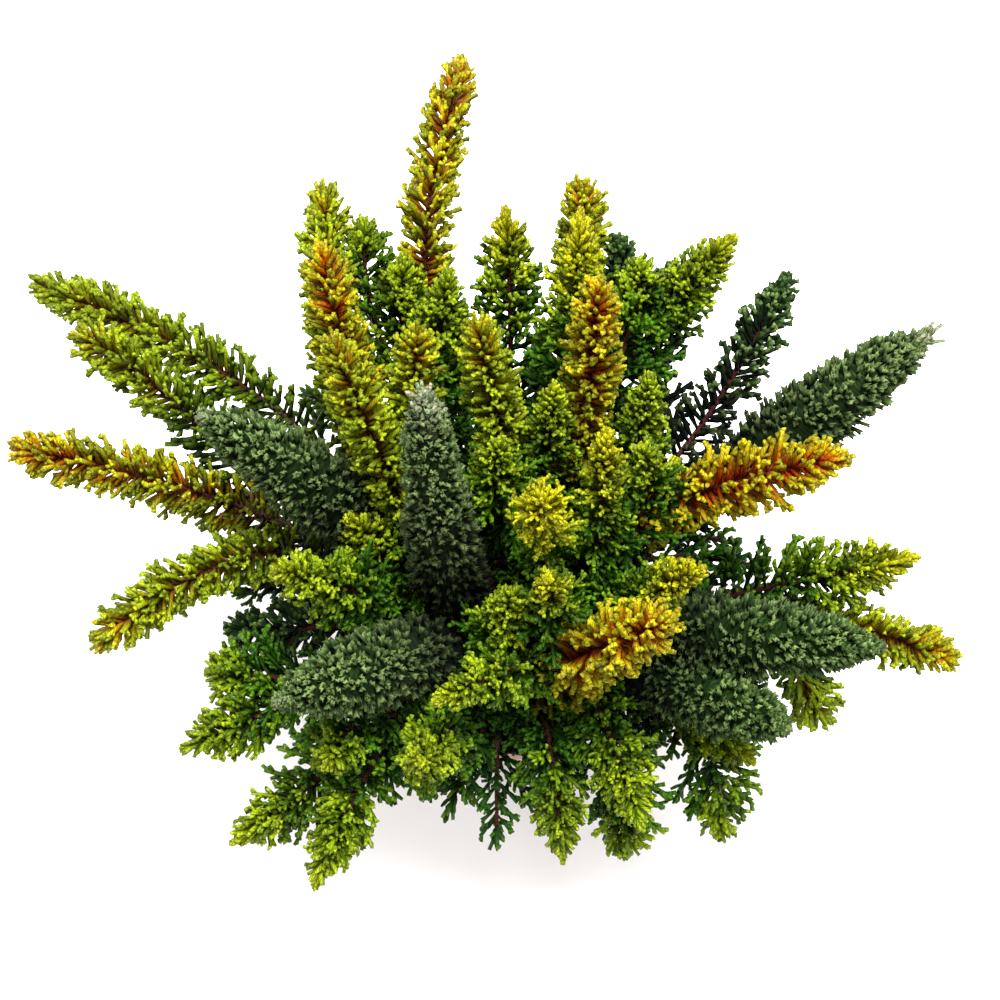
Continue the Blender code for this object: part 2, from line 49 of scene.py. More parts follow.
# Camera of the photograph: a 78 mm lens, 15 degrees off straight down, 0.65 m from the plant
CAMERA_PLACE = (0.0, -0.16823, 0.79785)
CAMERA_AIM = (0.0024, 0.01159, 0.17311)
CAMERA_LENS = 78.01

# Pot and peat, as in the model
POT_HEIGHT = 0.095
POT_RIM_RADIUS = 0.0525
POT_BASE_RADIUS = 0.038
POT_WALL = 0.0020
POT_FLOOR = 0.0024
RIM_BAND = 0.014
RIM_STEP = 0.0022
DRAIN_HOLES = 6
DRAIN_RADIUS = 0.0045
DRAIN_CIRCLE = 0.024
PEAT_EDGE = 0.083
PEAT_CROWN = 0.003
HOLE_DEPTH = 0.012

# Stems and their spacing, as in the model
STEM_RADIUS = 0.0014
ROOT_REACH = 0.42
ROOT_LIMIT = 0.042
ROOT_SPACING = 0.0058
LINE_POINTS = 15
BEND_ROUNDS = 90
FORCE_BLURS = 4
AIR_GAP = 0.0006

# The model's sizes for each kind of shoot, which set how far neighbours keep apart
SOLIDS = {
    "gold": {"core": (0.0013, 0.0009), "twig": (0.0120, 0.0100, 0.0060), "bare": 0.26},
    "lime": {"core": (0.0014, 0.0008), "twig": (0.0135, 0.0115, 0.0045), "bare": 0.22},
    "dark": {"core": (0.0013, 0.0008), "twig": (0.0120, 0.0110, 0.0050), "bare": 0.18},
    "silver": {"core": (0.0030, 0.0024), "twig": (0.0105, 0.0120, 0.0080), "bare": 0.32},
}

# Every shoot: number, kind, tip and waist, each a bearing in degrees, a reach in mm and a height in mm
SHOOTS = [
    (1, "gold", (93, 146, 195), (102, 94, 175)),
    (2, "gold", (115, 116, 195), (127, 79, 180)),
    (3, "gold", (123, 88, 222), (131, 64, 195)),
    (4, "gold", (138, 59, 240), (151, 38, 210)),
    (5, "lime", (111, 108, 180), (116, 82, 160)),
    (6, "lime", (107, 88, 190), (111, 74, 165)),
    (7, "lime", (99, 76, 200), (105, 61, 175)),
    (8, "lime", (87, 99, 190), (85, 73, 165)),
    (9, "gold", (75, 114, 185), (70, 93, 160)),
    (10, "lime", (73, 91, 215), (67, 65, 190)),
    (11, "gold", (61, 61, 245), (50, 44, 210)),
    (12, "silver", (68, 104, 172), (63, 84, 150)),
    (13, "lime", (61, 92, 192), (55, 76, 165)),
    (14, "silver", (58, 109, 158), (47, 79, 140)),
    (15, "lime", (49, 112, 200), (54, 83, 170)),
    (16, "silver", (42, 125, 170), (32, 77, 150)),
    (17, "silver", (23, 141, 192), (20, 94, 165)),
    (18, "gold", (4, 98, 228), (5, 60, 200)),
    (19, "lime", (356, 126, 178), (352, 86, 155)),
    (20, "gold", (344, 142, 170), (348, 103, 150)),
    (21, "silver", (338, 115, 210), (334, 77, 185)),
    (22, "silver", (322, 103, 198), (322, 74, 170)),
    (23, "gold", (333, 113, 140), (339, 100, 146)),
    (24, "lime", (309, 109, 128), (319, 84, 140)),
    (25, "lime", (320, 101, 150), (321, 63, 140)),
    (26, "lime", (296, 96, 165), (302, 61, 155)),
    (27, "lime", (294, 98, 125), (300, 73, 135)),
    (28, "lime", (282, 95, 148), (286, 59, 150)),
    (29, "dark", (270, 86, 128), (270, 61, 135)),
    (30, "dark", (259, 81, 140), (263, 56, 140)),
    (31, "dark", (253, 74, 120), (254, 52, 125)),
    (32, "lime", (254, 75, 200), (254, 58, 150)),
    (33, "lime", (242, 114, 155), (240, 73, 150)),
    (34, "lime", (228, 117, 150), (232, 84, 145)),
    (35, "lime", (212, 111, 150), (215, 76, 145)),
    (36, "lime", (202, 94, 152), (212, 69, 145)),
    (37, "silver", (224, 82, 215), (235, 47, 180)),
    (38, "lime", (235, 84, 178), (233, 62, 160)),
    (39, "silver", (194, 85, 140), (197, 63, 135)),
    (40, "gold", (196, 121, 180), (187, 87, 175)),
    (41, "lime", (199, 64, 220), (205, 45, 185)),
    (42, "gold", (170, 144, 188), (169, 90, 165)),
    (43, "gold", (150, 161, 180), (146, 98, 165)),
    (44, "gold", (154, 137, 192), (157, 97, 170)),
    (45, "silver", (164, 84, 222), (170, 45, 185)),
    (46, "silver", (142, 22, 265), (203, 16, 215)),
    (47, "gold", (115, 47, 238), (132, 33, 200)),
    (48, "gold", (95, 43, 242), (85, 26, 205)),
    (49, "lime", (316, 17, 255), (321, 19, 215)),
    (50, "lime", (20, 33, 242), (354, 31, 205)),
    (51, "lime", (17, 44, 222), (1, 43, 190)),
    (52, "lime", (39, 59, 212), (31, 50, 180)),
    (53, "lime", (296, 32, 235), (298, 34, 195)),
    (54, "lime", (336, 62, 232), (330, 49, 195)),
    (55, "gold", (319, 62, 238), (305, 49, 200)),
    (56, "lime", (254, 60, 215), (282, 40, 180)),
    (57, "lime", (281, 28, 220), (274, 31, 185)),
    (58, "lime", (59, 35, 225), (51, 25, 190)),
    (59, "lime", (81, 14, 225), (71, 7, 190)),
    (60, "lime", (179, 42, 195), (190, 28, 165)),
    (61, "dark", (0, 88, 128), (4, 62, 130)),
    (62, "dark", (28, 86, 118), (26, 62, 122)),
    (63, "dark", (78, 88, 122), (74, 62, 126)),
    (64, "dark", (104, 86, 118), (100, 62, 124)),
    (65, "dark", (134, 90, 122), (130, 62, 126)),
    (66, "dark", (160, 88, 116), (162, 62, 122)),
    (67, "dark", (182, 84, 118), (180, 60, 122)),
    (68, "dark", (220, 84, 112), (222, 60, 118)),
    (69, "dark", (284, 80, 112), (284, 58, 116)),
    (70, "dark", (328, 86, 114), (328, 60, 118)),
    (71, "dark", (240, 72, 108), (236, 56, 114)),
    (72, "dark", (263, 70, 108), (260, 54, 113)),
    (73, "dark", (299, 72, 108), (294, 56, 113)),
    (74, "dark", (313, 74, 109), (318, 57, 115)),
    (75, "dark", (48, 84, 124), (42, 64, 126)),
    (76, "dark", (196, 78, 108), (192, 58, 115)),
    (77, "dark", (262, 34, 142), (250, 26, 122)),
    (78, "dark", (300, 44, 136), (305, 34, 118)),
    (79, "dark", (232, 48, 132), (228, 38, 118)),
    (80, "dark", (285, 52, 124), (280, 42, 112)),
    (81, "dark", (330, 48, 134), (335, 36, 116)),
]

# Side shoot: the main shoot that it forks from, and how far up that shoot, as a share of its length
FORKS = {
    24: (25, 0.42),
    27: (26, 0.40),
    29: (30, 0.38),
    38: (33, 0.45),
    14: (16, 0.40),
    51: (50, 0.40),
    5: (6, 0.40),
    44: (42, 0.42),
    53: (57, 0.40),
    59: (58, 0.42),
    36: (35, 0.45),
    13: (10, 0.45),
    23: (20, 0.55),
    71: (68, 0.40),
    72: (31, 0.40),
    73: (69, 0.40),
    74: (70, 0.40),
    75: (62, 0.40),
    76: (67, 0.40),
    77: (32, 0.30),
    78: (55, 0.28),
    79: (37, 0.28),
    80: (28, 0.30),
    81: (22, 0.28),
}

# How warm a gold shoot is, how bright a lime one, or how pale a silver one's tip, from 0 to 1
TONES = {
    18: 1.0, 55: 0.80, 11: 0.70, 3: 0.66, 4: 0.40, 43: 0.16, 48: 0.36, 47: 0.36, 1: 0.62, 2: 0.30, 9: 0.45,
    44: 0.36, 42: 0.62, 40: 0.38, 20: 0.44, 23: 0.20,
    49: 1.0, 53: 0.9, 54: 1.0, 50: 0.95, 58: 0.6, 41: 0.6, 59: 0.4, 51: 0.55, 32: 0.6, 38: 0.6, 10: 0.95,
    8: 0.85, 15: 0.7, 19: 0.85, 25: 0.6, 28: 0.5, 33: 0.6, 34: 0.6, 35: 0.5, 36: 0.6, 60: 0.7, 57: 0.25, 56: 0.6,
    46: 1.0, 17: 0.8, 45: 0.6, 37: 0.6, 21: 0.4, 22: 0.35, 16: 0.3, 12: 0.0, 14: 0.0, 39: 0.1,
}

# Outlines of leafy twigs: how far along the twig each ring stands, its width as a share of the radius, and
# the number of sides
TWIG = ((-0.02, 0.30, 0.64, 1.0), (0.55, 1.0, 1.0, 0.60), 4)
SLENDER_TWIG = ((-0.02, 0.24, 0.50, 0.76, 1.0), (0.50, 0.86, 1.0, 1.0, 0.60), 4)
BRANCH = ((-0.02, 0.32, 0.66, 1.0), (0.50, 0.80, 0.95, 0.62), 4)
TWIGLET = ((0.0, 0.54, 1.0), (0.64, 1.04, 0.66), 3)
KNOB = ((0.72, 0.89, 1.0), (0.66, 1.04, 0.62), 4)
LEAF_DEPTH = 0.26
LEAF_REACH = 0.34
LEAF_SPACING = 0.0011

# The fine look of each kind. Along the leafy part, from its low end to its tip: the places where the sizes
# are given, the twigs' lengths in mm, their lean from the stem in degrees, and the stem left between two
# twigs in mm. Then the twig's radius in mm, its outline, the length in mm past which it carries side
# twiglets, the twig left between two twiglets in mm, the share of the twig below the first twiglet, and the
# reach of the close inner leaves as a share of the twigs' length.
LOOKS = {
    "gold": {
        "from": 0.14,
        "places": (0.0, 0.25, 0.50, 0.85, 0.95, 1.0),
        "lengths": (16.0, 13.0, 10.2, 9.2, 7.6, 5.2),
        "leans": (66, 64, 62, 60, 52, 26),
        "gaps": (2.4, 1.0, 0.40, 0.32, 0.25, 0.21),
        "radius": 0.92,
        "outline": SLENDER_TWIG,
        "branched": 7.8,
        "step": 2.7,
        "fan": 0.36,
        "inner": 0.0,
    },
    "plume": {
        "from": 0.14,
        "places": (0.0, 0.25, 0.50, 0.85, 0.95, 1.0),
        "lengths": (16.0, 13.0, 12.4, 11.4, 8.4, 5.0),
        "leans": (66, 64, 62, 58, 46, 14),
        "gaps": (2.6, 1.3, 0.50, 0.40, 0.31, 0.25),
        "radius": 1.00,
        "outline": SLENDER_TWIG,
        "branched": 7.8,
        "step": 2.2,
        "fan": 0.44,
        "inner": 0.0,
    },
    "lime": {
        "from": 0.12,
        "places": (0.0, 0.35, 0.62, 0.76, 0.88, 0.95, 1.0),
        "lengths": (19.0, 18.0, 15.5, 12.0, 8.0, 5.2, 3.2),
        "leans": (62, 60, 58, 56, 52, 42, 10),
        "gaps": (4.2, 2.3, 1.00, 0.58, 0.34, 0.24, 0.19),
        "radius": 0.86,
        "outline": TWIG,
        "branched": 6.8,
        "step": 1.45,
        "fan": 0.16,
        "inner": 0.0,
    },
    "crown": {
        "from": 0.12,
        "places": (0.0, 0.35, 0.60, 0.78, 0.90, 0.96, 1.0),
        "lengths": (19.0, 17.0, 14.0, 9.4, 6.2, 4.8, 3.2),
        "leans": (62, 62, 62, 58, 46, 32, 8),
        "gaps": (4.4, 2.4, 1.10, 0.58, 0.36, 0.26, 0.20),
        "radius": 0.78,
        "outline": TWIG,
        "branched": 5.8,
        "step": 1.45,
        "fan": 0.16,
        "inner": 0.0,
    },
    "star": {
        "from": 0.12,
        "places": (0.0, 0.30, 0.60, 0.85, 0.96, 1.0),
        "lengths": (18.0, 15.0, 11.0, 9.6, 8.0, 4.0),
        "leans": (62, 60, 60, 66, 56, 12),
        "gaps": (3.4, 2.8, 1.6, 0.60, 0.34, 0.26),
        "radius": 0.76,
        "outline": TWIG,
        "branched": 6.4,
        "step": 1.5,
        "fan": 0.22,
        "inner": 0.0,
    },
    "dark": {
        "from": 0.08,
        "places": (0.0, 0.30, 0.60, 0.90, 1.0),
        "lengths": (16.0, 13.0, 10.0, 6.5, 4.0),
        "leans": (64, 60, 54, 46, 12),
        "gaps": (3.8, 2.8, 1.7, 0.9, 0.6),
        "radius": 0.84,
        "outline": TWIG,
        "branched": 6.4,
        "step": 1.8,
        "fan": 0.16,
        "inner": 0.0,
    },
    "silver": {
        "from": 0.20,
        "places": (0.0, 0.25, 0.50, 0.74, 0.90, 1.0),
        "lengths": (11.0, 11.0, 12.0, 11.2, 8.2, 4.2),
        "leans": (74, 72, 70, 66, 50, 12),
        "gaps": (0.70, 0.34, 0.084, 0.068, 0.060, 0.056),
        "radius": 0.86,
        "outline": KNOB,
        "branched": 99.0,
        "step": 2.0,
        "fan": 0.2,
        "inner": 0.81,
    },
    "spire": {
        "from": 0.20,
        "places": (0.0, 0.28, 0.55, 0.82, 0.94, 1.0),
        "lengths": (9.0, 10.8, 10.6, 8.0, 6.6, 4.2),
        "leans": (74, 72, 70, 62, 46, 12),
        "gaps": (0.60, 0.15, 0.090, 0.078, 0.066, 0.056),
        "radius": 0.80,
        "outline": KNOB,
        "branched": 99.0,
        "step": 2.0,
        "fan": 0.2,
        "inner": 0.81,
    },
    "rosette": {
        "from": 0.16,
        "places": (0.0, 0.25, 0.50, 0.82, 0.94, 1.0),
        "lengths": (13.0, 12.5, 11.0, 9.0, 6.5, 4.5),
        "leans": (66, 64, 62, 58, 44, 12),
        "gaps": (2.6, 2.0, 1.0, 0.42, 0.24, 0.18),
        "radius": 1.00,
        "outline": BRANCH,
        "branched": 5.8,
        "step": 2.0,
        "fan": 0.40,
        "inner": 0.0,
    },
}
UNDERGROWTH_SHOOTS = 46
UNDERGROWTH_PIECES = 6

# Shoots that differ from their kind: broad gold plumes, lime crowns with slim tips, a head that opens like a
# star, a silver spire that widens slowly, looser silver ones with rosettes, and how many stray pale twigs
# stand out of a silver tip
OTHER_LOOKS = {
    18: "plume", 55: "plume", 50: "crown", 51: "crown", 52: "crown", 54: "crown", 56: "crown", 57: "crown",
    58: "crown", 59: "crown", 53: "crown", 49: "star", 46: "spire", 12: "rosette", 14: "rosette",
    16: "rosette", 39: "rosette",
}
STRAYS = {17: 16, 46: 20}


def peat_height(radius):
    """The peat's surface, lowest at the wall and a little crowned in the middle."""
    share = np.minimum(1.0, radius / POT_RIM_RADIUS)
    return PEAT_EDGE + PEAT_CROWN * (1 - share**2)


def place(point):
    """A (bearing, reach, height) in degrees and millimetres, as a position in metres."""
    bearing, reach, height = point
    angle = math.radians(bearing)
    return np.array((reach * math.cos(angle), reach * math.sin(angle), height)) / 1000


def parabola(start, waist, end, shares):
    """The parabola through three points, with the waist met in proportion to the chords."""
    first, second = np.linalg.norm(waist - start), np.linalg.norm(end - waist)
    middle = first / (first + second)
    t = np.asarray(shares)[:, None]
    return (
        start * (t - middle) * (t - 1) / middle
        + waist * t * (t - 1) / (middle * (middle - 1))
        + end * t * (t - middle) / (1 - middle)
    )


def spread_roots():
    """Where each main stem leaves the peat: under its waist, nearer the middle, and pushed a spacing apart."""
    mains = [row for row in SHOOTS if row[0] not in FORKS]
    spots = np.array([place(waist)[:2] * ROOT_REACH for _, _, _, waist in mains])
    for _ in range(400):
        apart = spots[:, None] - spots[None]
        distance = np.linalg.norm(apart, axis=2) + np.eye(len(spots))
        short = np.clip(ROOT_SPACING - distance, 0, None) * (1 - np.eye(len(spots)))
        spots = spots + 0.45 * (apart / distance[..., None] * short[..., None]).sum(axis=1)
        reach = np.linalg.norm(spots, axis=1, keepdims=True)
        spots = spots * np.minimum(1, ROOT_LIMIT / np.maximum(reach, 1e-9))
    return {row[0]: spots[index] for index, row in enumerate(mains)}


def first_lines(roots):
    """Each shoot's line before any bending: evenly placed points from its foot to its tip."""
    shares = np.linspace(0, 1, LINE_POINTS)
    lines = {}
    for number, _, tip, waist in sorted(SHOOTS, key=lambda row: row[0] in FORKS):
        if number in FORKS:
            main, share = FORKS[number]
            start = lines[main][round(share * (LINE_POINTS - 1))]
        else:
            x, y = roots[number]
            start = np.array((x, y, peat_height(math.hypot(x, y)) + 2 * STEM_RADIUS))
        lines[number] = parabola(start, place(waist), place(tip), shares)
    return np.array([lines[row[0]] for row in SHOOTS])


def nearest(p0, p1, q0, q1):
    """Shortest way between segments p and q: the vector from q to p and the share along each."""
    u, v, w = p1 - p0, q1 - q0, p0 - q0
    a, b, c = (u * u).sum(-1), (u * v).sum(-1), (v * v).sum(-1)
    d, e = (u * w).sum(-1), (v * w).sum(-1)
    det = np.maximum(a * c - b * b, 1e-18)
    s = np.clip((b * e - c * d) / det, 0, 1)
    t = np.clip((b * s + e) / np.maximum(c, 1e-18), 0, 1)
    s = np.clip((b * t - d) / np.maximum(a, 1e-18), 0, 1)
    return w + s[..., None] * u - t[..., None] * v, s, t


def profiles(kind):
    """The plain solid's core radius and twig length at each point of a line of this kind."""
    share = np.linspace(0, 1, LINE_POINTS)
    sizes = SOLIDS[kind]
    leafy = np.clip((share - sizes["bare"]) / (1 - sizes["bare"]), 0, 1)
    core = np.interp(leafy, (0, 0.25, 1), (STEM_RADIUS, *sizes["core"]))
    twig = np.interp(leafy, (0, 0.15, 0.6, 1), (0, *sizes["twig"]))
    return core, twig


def related(first, second):
    """True for a side shoot and its main shoot, or for two side shoots of one main shoot."""
    mains = [FORKS[n][0] if n in FORKS else n for n in (first, second)]
    return mains[0] == mains[1]


def bend_clear(lines):
    """Pushes lines of different plants apart where their cores, and some of their twigs, would meet.
    Feet and tips stay; a push fades smoothly along the line, so that the curves stay curves."""
    count = len(SHOOTS)
    sizes = [profiles(row[1]) for row in SHOOTS]
    core = np.array([s[0] for s in sizes])
    twig = np.array([s[1] for s in sizes])
    apart = np.array([[not related(a[0], b[0]) for b in SHOOTS] for a in SHOOTS])
    spans = LINE_POINTS - 1
    owner = np.repeat(np.arange(count), spans)
    span = np.tile(np.arange(spans), count)
    first, second = np.triu_indices(count * spans, 1)
    keep = apart[owner[first], owner[second]]
    first, second = first[keep], second[keep]
    wanted = (core[:, :-1] + 0.32 * twig[:, :-1]).reshape(-1)
    room = wanted[first] + wanted[second] + AIR_GAP
    loose = np.sin(np.linspace(0, math.pi, LINE_POINTS)) ** 0.5
    loose[-1] = 0.0
    for _ in range(BEND_ROUNDS):
        p0, p1 = lines[:, :-1].reshape(-1, 3), lines[:, 1:].reshape(-1, 3)
        middle = (p0 + p1) / 2
        reach = np.linalg.norm(p1 - p0, axis=1) / 2
        gap = np.linalg.norm(middle[first] - middle[second], axis=1) - reach[first] - reach[second]
        near = gap < room
        a, b, need = first[near], second[near], room[near]
        way, s, t = nearest(p0[a], p1[a], p0[b], p1[b])
        distance = np.linalg.norm(way, axis=1)
        push = np.clip(need - distance, 0, None) * 0.20
        step = way / np.maximum(distance, 1e-6)[:, None] * push[:, None]
        force = np.zeros_like(lines)
        for side, index, share in ((1, a, s), (-1, b, t)):
            np.add.at(force, (owner[index], span[index]), side * step * (1 - share)[:, None])
            np.add.at(force, (owner[index], span[index] + 1), side * step * share[:, None])
        for _ in range(FORCE_BLURS):
            force[:, 1:-1] = force[:, :-2] / 4 + force[:, 1:-1] / 2 + force[:, 2:] / 4
        lines = lines + np.clip(force, -0.0012, 0.0012) * loose[None, :, None]
        lines = reseat_forks(lines)
    return lines


def reseat_forks(lines):
    """Slides each side shoot's foot back onto its main shoot after a bend."""
    index = {row[0]: i for i, row in enumerate(SHOOTS)}
    fade = np.linspace(1, 0, LINE_POINTS)[:, None] ** 2
    for side, (main, share) in FORKS.items():
        foot = lines[index[main]][round(share * (LINE_POINTS - 1))]
        lines[index[side]] += (foot - lines[index[side]][0]) * fade
    return lines


def unit(vectors):
    """Each vector at length 1."""
    return vectors / np.maximum(np.linalg.norm(vectors, axis=-1, keepdims=True), 1e-12)


class Curve:
    """A smooth line through a shoot's points, read by the length along it.
    Between two points it is a cubic whose slopes are half the steps between their neighbours."""

    def __init__(self, line):
        self.line = line
        self.padded = np.vstack((2 * line[0] - line[1], line, 2 * line[-1] - line[-2]))
        self.shares = np.linspace(0, 1, 240)
        dense = self.at(self.shares)
        steps = np.linalg.norm(np.diff(dense, axis=0), axis=1)
        self.lengths = np.concatenate(([0], np.cumsum(steps)))
        self.length = self.lengths[-1]
        self.normal = np.linalg.svd(line - line.mean(axis=0))[2][2]

    def at(self, share):
        """Points at the given shares of the row of points."""
        where = np.clip(share, 0, 1) * (len(self.line) - 1)
        index = np.minimum(where.astype(int), len(self.line) - 2)
        t = (where - index)[:, None]
        a, b, c, d = (self.padded[index + k] for k in range(4))
        return 0.5 * (2 * b + (c - a) * t + (2 * a - 5 * b + 4 * c - d) * t**2 + (3 * b - a - 3 * c + d) * t**3)

    def frames(self, length):
        """Point, tangent and two cross directions at each length along the line."""
        low, high = np.clip(length - 0.0004, 0, self.length), np.clip(length + 0.0004, 0, self.length)
        ends = [self.at(np.interp(value, self.lengths, self.shares)) for value in (low, high)]
        tangent = unit(ends[1] - ends[0])
        over = unit(self.normal - tangent * (tangent @ self.normal)[:, None])
        point = self.at(np.interp(length, self.lengths, self.shares))
        return point, tangent, np.cross(over, tangent), over


class Bundle:
    """Triangles gathered for one piece, with each point's growth values and each triangle's finish.
    The growth values are: share along the shoot, share along the twig, a random value, lowered as painted shade in
    the dips beside leaf tips and on the close inner leaves, the shoot's tone, leaves counted along the twig, and 0 or
    1 for the row of leaves. A twiglet goes on with its twig's share."""

    def __init__(self):
        self.points, self.triangles, self.growth, self.finish = [], [], [], []
        self.count = 0

    def add(self, points, triangles, growth, finish):
        """points is (..., 3), triangles is (..., 3) into them, and growth is (..., 6)."""
        self.points.append(points.reshape(-1, 3))
        self.growth.append(growth.reshape(-1, 6))
        self.triangles.append(triangles.reshape(-1, 3) + self.count)
        self.finish.append(np.full(triangles.size // 3, finish))
        self.count += points.size // 3


def tube_triangles(tubes, rings, sides):
    """Triangles of many closed tubes whose corners are ordered by tube, ring and side.
    Each side face is two triangles, and a fan of triangles closes each end."""
    base = np.arange(tubes)[:, None, None] * rings * sides
    ring = np.arange(rings - 1)[None, :, None] * sides
    side = np.arange(sides)[None, None, :]
    after = (side + 1) % sides
    a, b = base + ring + side, base + ring + after
    wall = np.stack((np.stack((a, b, b + sides), -1), np.stack((a, b + sides, a + sides), -1)), -2)
    fan = np.arange(1, sides - 1)
    last = (rings - 1) * sides
    low = np.stack((0 * fan, fan + 1, fan), -1)
    high = np.stack((0 * fan, fan, fan + 1), -1) + last
    caps = np.concatenate((low, high))[None] + base.reshape(-1, 1, 1)
    return np.concatenate((wall.reshape(-1, 3), caps.reshape(-1, 3)))


def tube_points(points, radii, across, over, sides):
    """Corners round each point of many paths: point + radius * (cos(angle) * across + sin(angle) * over)."""
    angle = np.arange(sides) * 2 * math.pi / sides
    ring = np.cos(angle)[:, None] * across[..., None, :] + np.sin(angle)[:, None] * over[..., None, :]
    return points[..., None, :] + radii[..., None, None] * ring


def cross_pair(direction):
    """Two directions square to each given one and to each other."""
    lift = np.where(np.abs(direction[:, 2:]) < 0.9, (0.0, 0.0, 1.0), (1.0, 0.0, 0.0))
    across = unit(np.cross(direction, lift))
    return across, np.cross(direction, across)


def add_twigs(bundle, rng, root, direction, bow, length, radius, outline, growth, finish):
    """Many leafy twigs at once, each a blunt finger with rows of scale leaves. Its axis is root + length *
    (u * direction + u squared * bow) for u from 0 to 1. The corners of a ring stand in turn on a leaf's tip,
    where push is 1, and in the dip beside it, where push is -1, and they change places from ring to ring:
    corner = axis(u + push * reach) + out * radius * width * (1 + LEAF_DEPTH * push)."""
    places, widths, sides = np.array(outline[0]), np.array(outline[1]), outline[2]
    count, rings = len(root), len(places)
    across, over = cross_pair(direction)
    push = (-1.0) ** (np.arange(rings)[:, None] + np.arange(sides))
    reach = np.full(rings, LEAF_REACH / (rings - 1))
    reach[[0, -1]] = 0
    u = places[:, None] + push * reach[:, None]
    angle = np.arange(sides) * 2 * math.pi / sides + rng.uniform(0, 2 * math.pi, (count, 1, 1))
    angle = angle + rng.uniform(-0.2, 0.2, (count, rings, sides))
    out = np.cos(angle)[..., None] * across[:, None, None] + np.sin(angle)[..., None] * over[:, None, None]
    axis = u[..., None] * direction[:, None, None] + u[..., None] ** 2 * bow[:, None, None]
    deep = 1 + LEAF_DEPTH * push + rng.uniform(-0.06, 0.06, angle.shape)
    corners = (
        root[:, None, None]
        + length[:, None, None, None] * axis
        + out * (radius[:, None, None] * widths[:, None] * deep)[..., None]
    )
    values = np.zeros(corners.shape[:-1] + (6,))
    values[..., :4] = growth[:, None, None]
    values[..., 1] += (1 - values[..., 1]) * np.clip(u, 0, 1)
    # Painted shade: the random value is raised on a leaf's tip and lowered in the dip beside it, so dips come out
    # darker.
    values[..., 2] = np.clip(values[..., 2] + 0.10 * push + rng.uniform(-0.10, 0.10, angle.shape), 0, 1)
    values[..., 4] = places[:, None] * (length / LEAF_SPACING)[:, None, None] + 4
    values[..., 5] = np.arange(sides) % 2
    bundle.add(corners, tube_triangles(count, rings, sides), values, finish)


def add_inner_leaves(bundle, rng, curve, start, leafy, look, tone, finish):
    """The close leaves round the stem of a dense shoot: a spindle along the line, as far out as the share
    inner of the twigs that stand there. Its corners stand in turn further out and further in, as the leaf
    tips do."""
    sides = 14
    share = np.linspace(0, 1, max(8, int(leafy / (1.4 * MM))))
    reach = look["inner"] * MM * np.interp(share, look["places"], look["lengths"])
    lean = np.radians(np.interp(share, look["places"], look["leans"]))
    where = start + share * leafy + reach * np.cos(lean) * (1 - share)
    points, _, across, over = curve.frames(where)
    radii = reach * np.sin(lean) * np.interp(share, (0, 0.08, 0.94, 1), (0.2, 0.9, 1.0, 0.6))
    corners = tube_points(points[None], radii[None], across[None], over[None], sides)
    push = (-1.0) ** (np.arange(len(where))[:, None] + np.arange(sides))
    jitter = 1 + 0.07 * push + rng.uniform(-0.08, 0.08, push.shape)
    corners = points[None, :, None] + (corners - points[None, :, None]) * jitter[None, ..., None]
    values = np.zeros(corners.shape[:-1] + (6,))
    values[..., 0] = (where / curve.length)[:, None]
    values[..., 1] = 0.79 + 0.05 * push
    # Painted shade: the close inner leaves get only low random values, so they come out darker than the twigs round
    # them.
    values[..., 2] = rng.uniform(0.0, 0.6, push.shape)
    values[..., 3] = tone
    values[..., 4] = (where / LEAF_SPACING)[:, None]
    values[..., 5] = np.arange(sides) % 2
    bundle.add(corners, tube_triangles(1, len(where), sides), values, finish)


def add_stem(bundle, curve, forked, tone, top, top_radius):
    """The woody stem: a six-sided tube along the line up to the length top, thinning to its end, with leaf
    scars as small swellings. A stem that stands in the peat has an upright foot below the line."""
    where = np.linspace(0, top, max(12, int(top / 0.004)))
    points, tangent, across, over = curve.frames(where)
    share = where / curve.length
    radii = (STEM_RADIUS * 0.95 + (top_radius - STEM_RADIUS * 0.95) * share**0.8) * (1 + 0.08 * np.sin(where * 2400))
    if forked:
        radii[0] *= 0.8
    else:
        foot = points[:1] - (0, 0, HOLE_DEPTH)
        points = np.vstack((foot, points))
        across, over = np.vstack((across[:1], across)), np.vstack((over[:1], over))
        radii = np.concatenate(((STEM_RADIUS,), radii))
        share = np.concatenate(((0,), share))
    corners = tube_points(points[None], radii[None], across[None], over[None], 6)
    growth = np.zeros((1, len(points), 6, 6))
    growth[..., 0] = share[:, None]
    growth[..., 3] = tone
    bundle.add(corners, tube_triangles(1, len(points), 6), growth, 0)


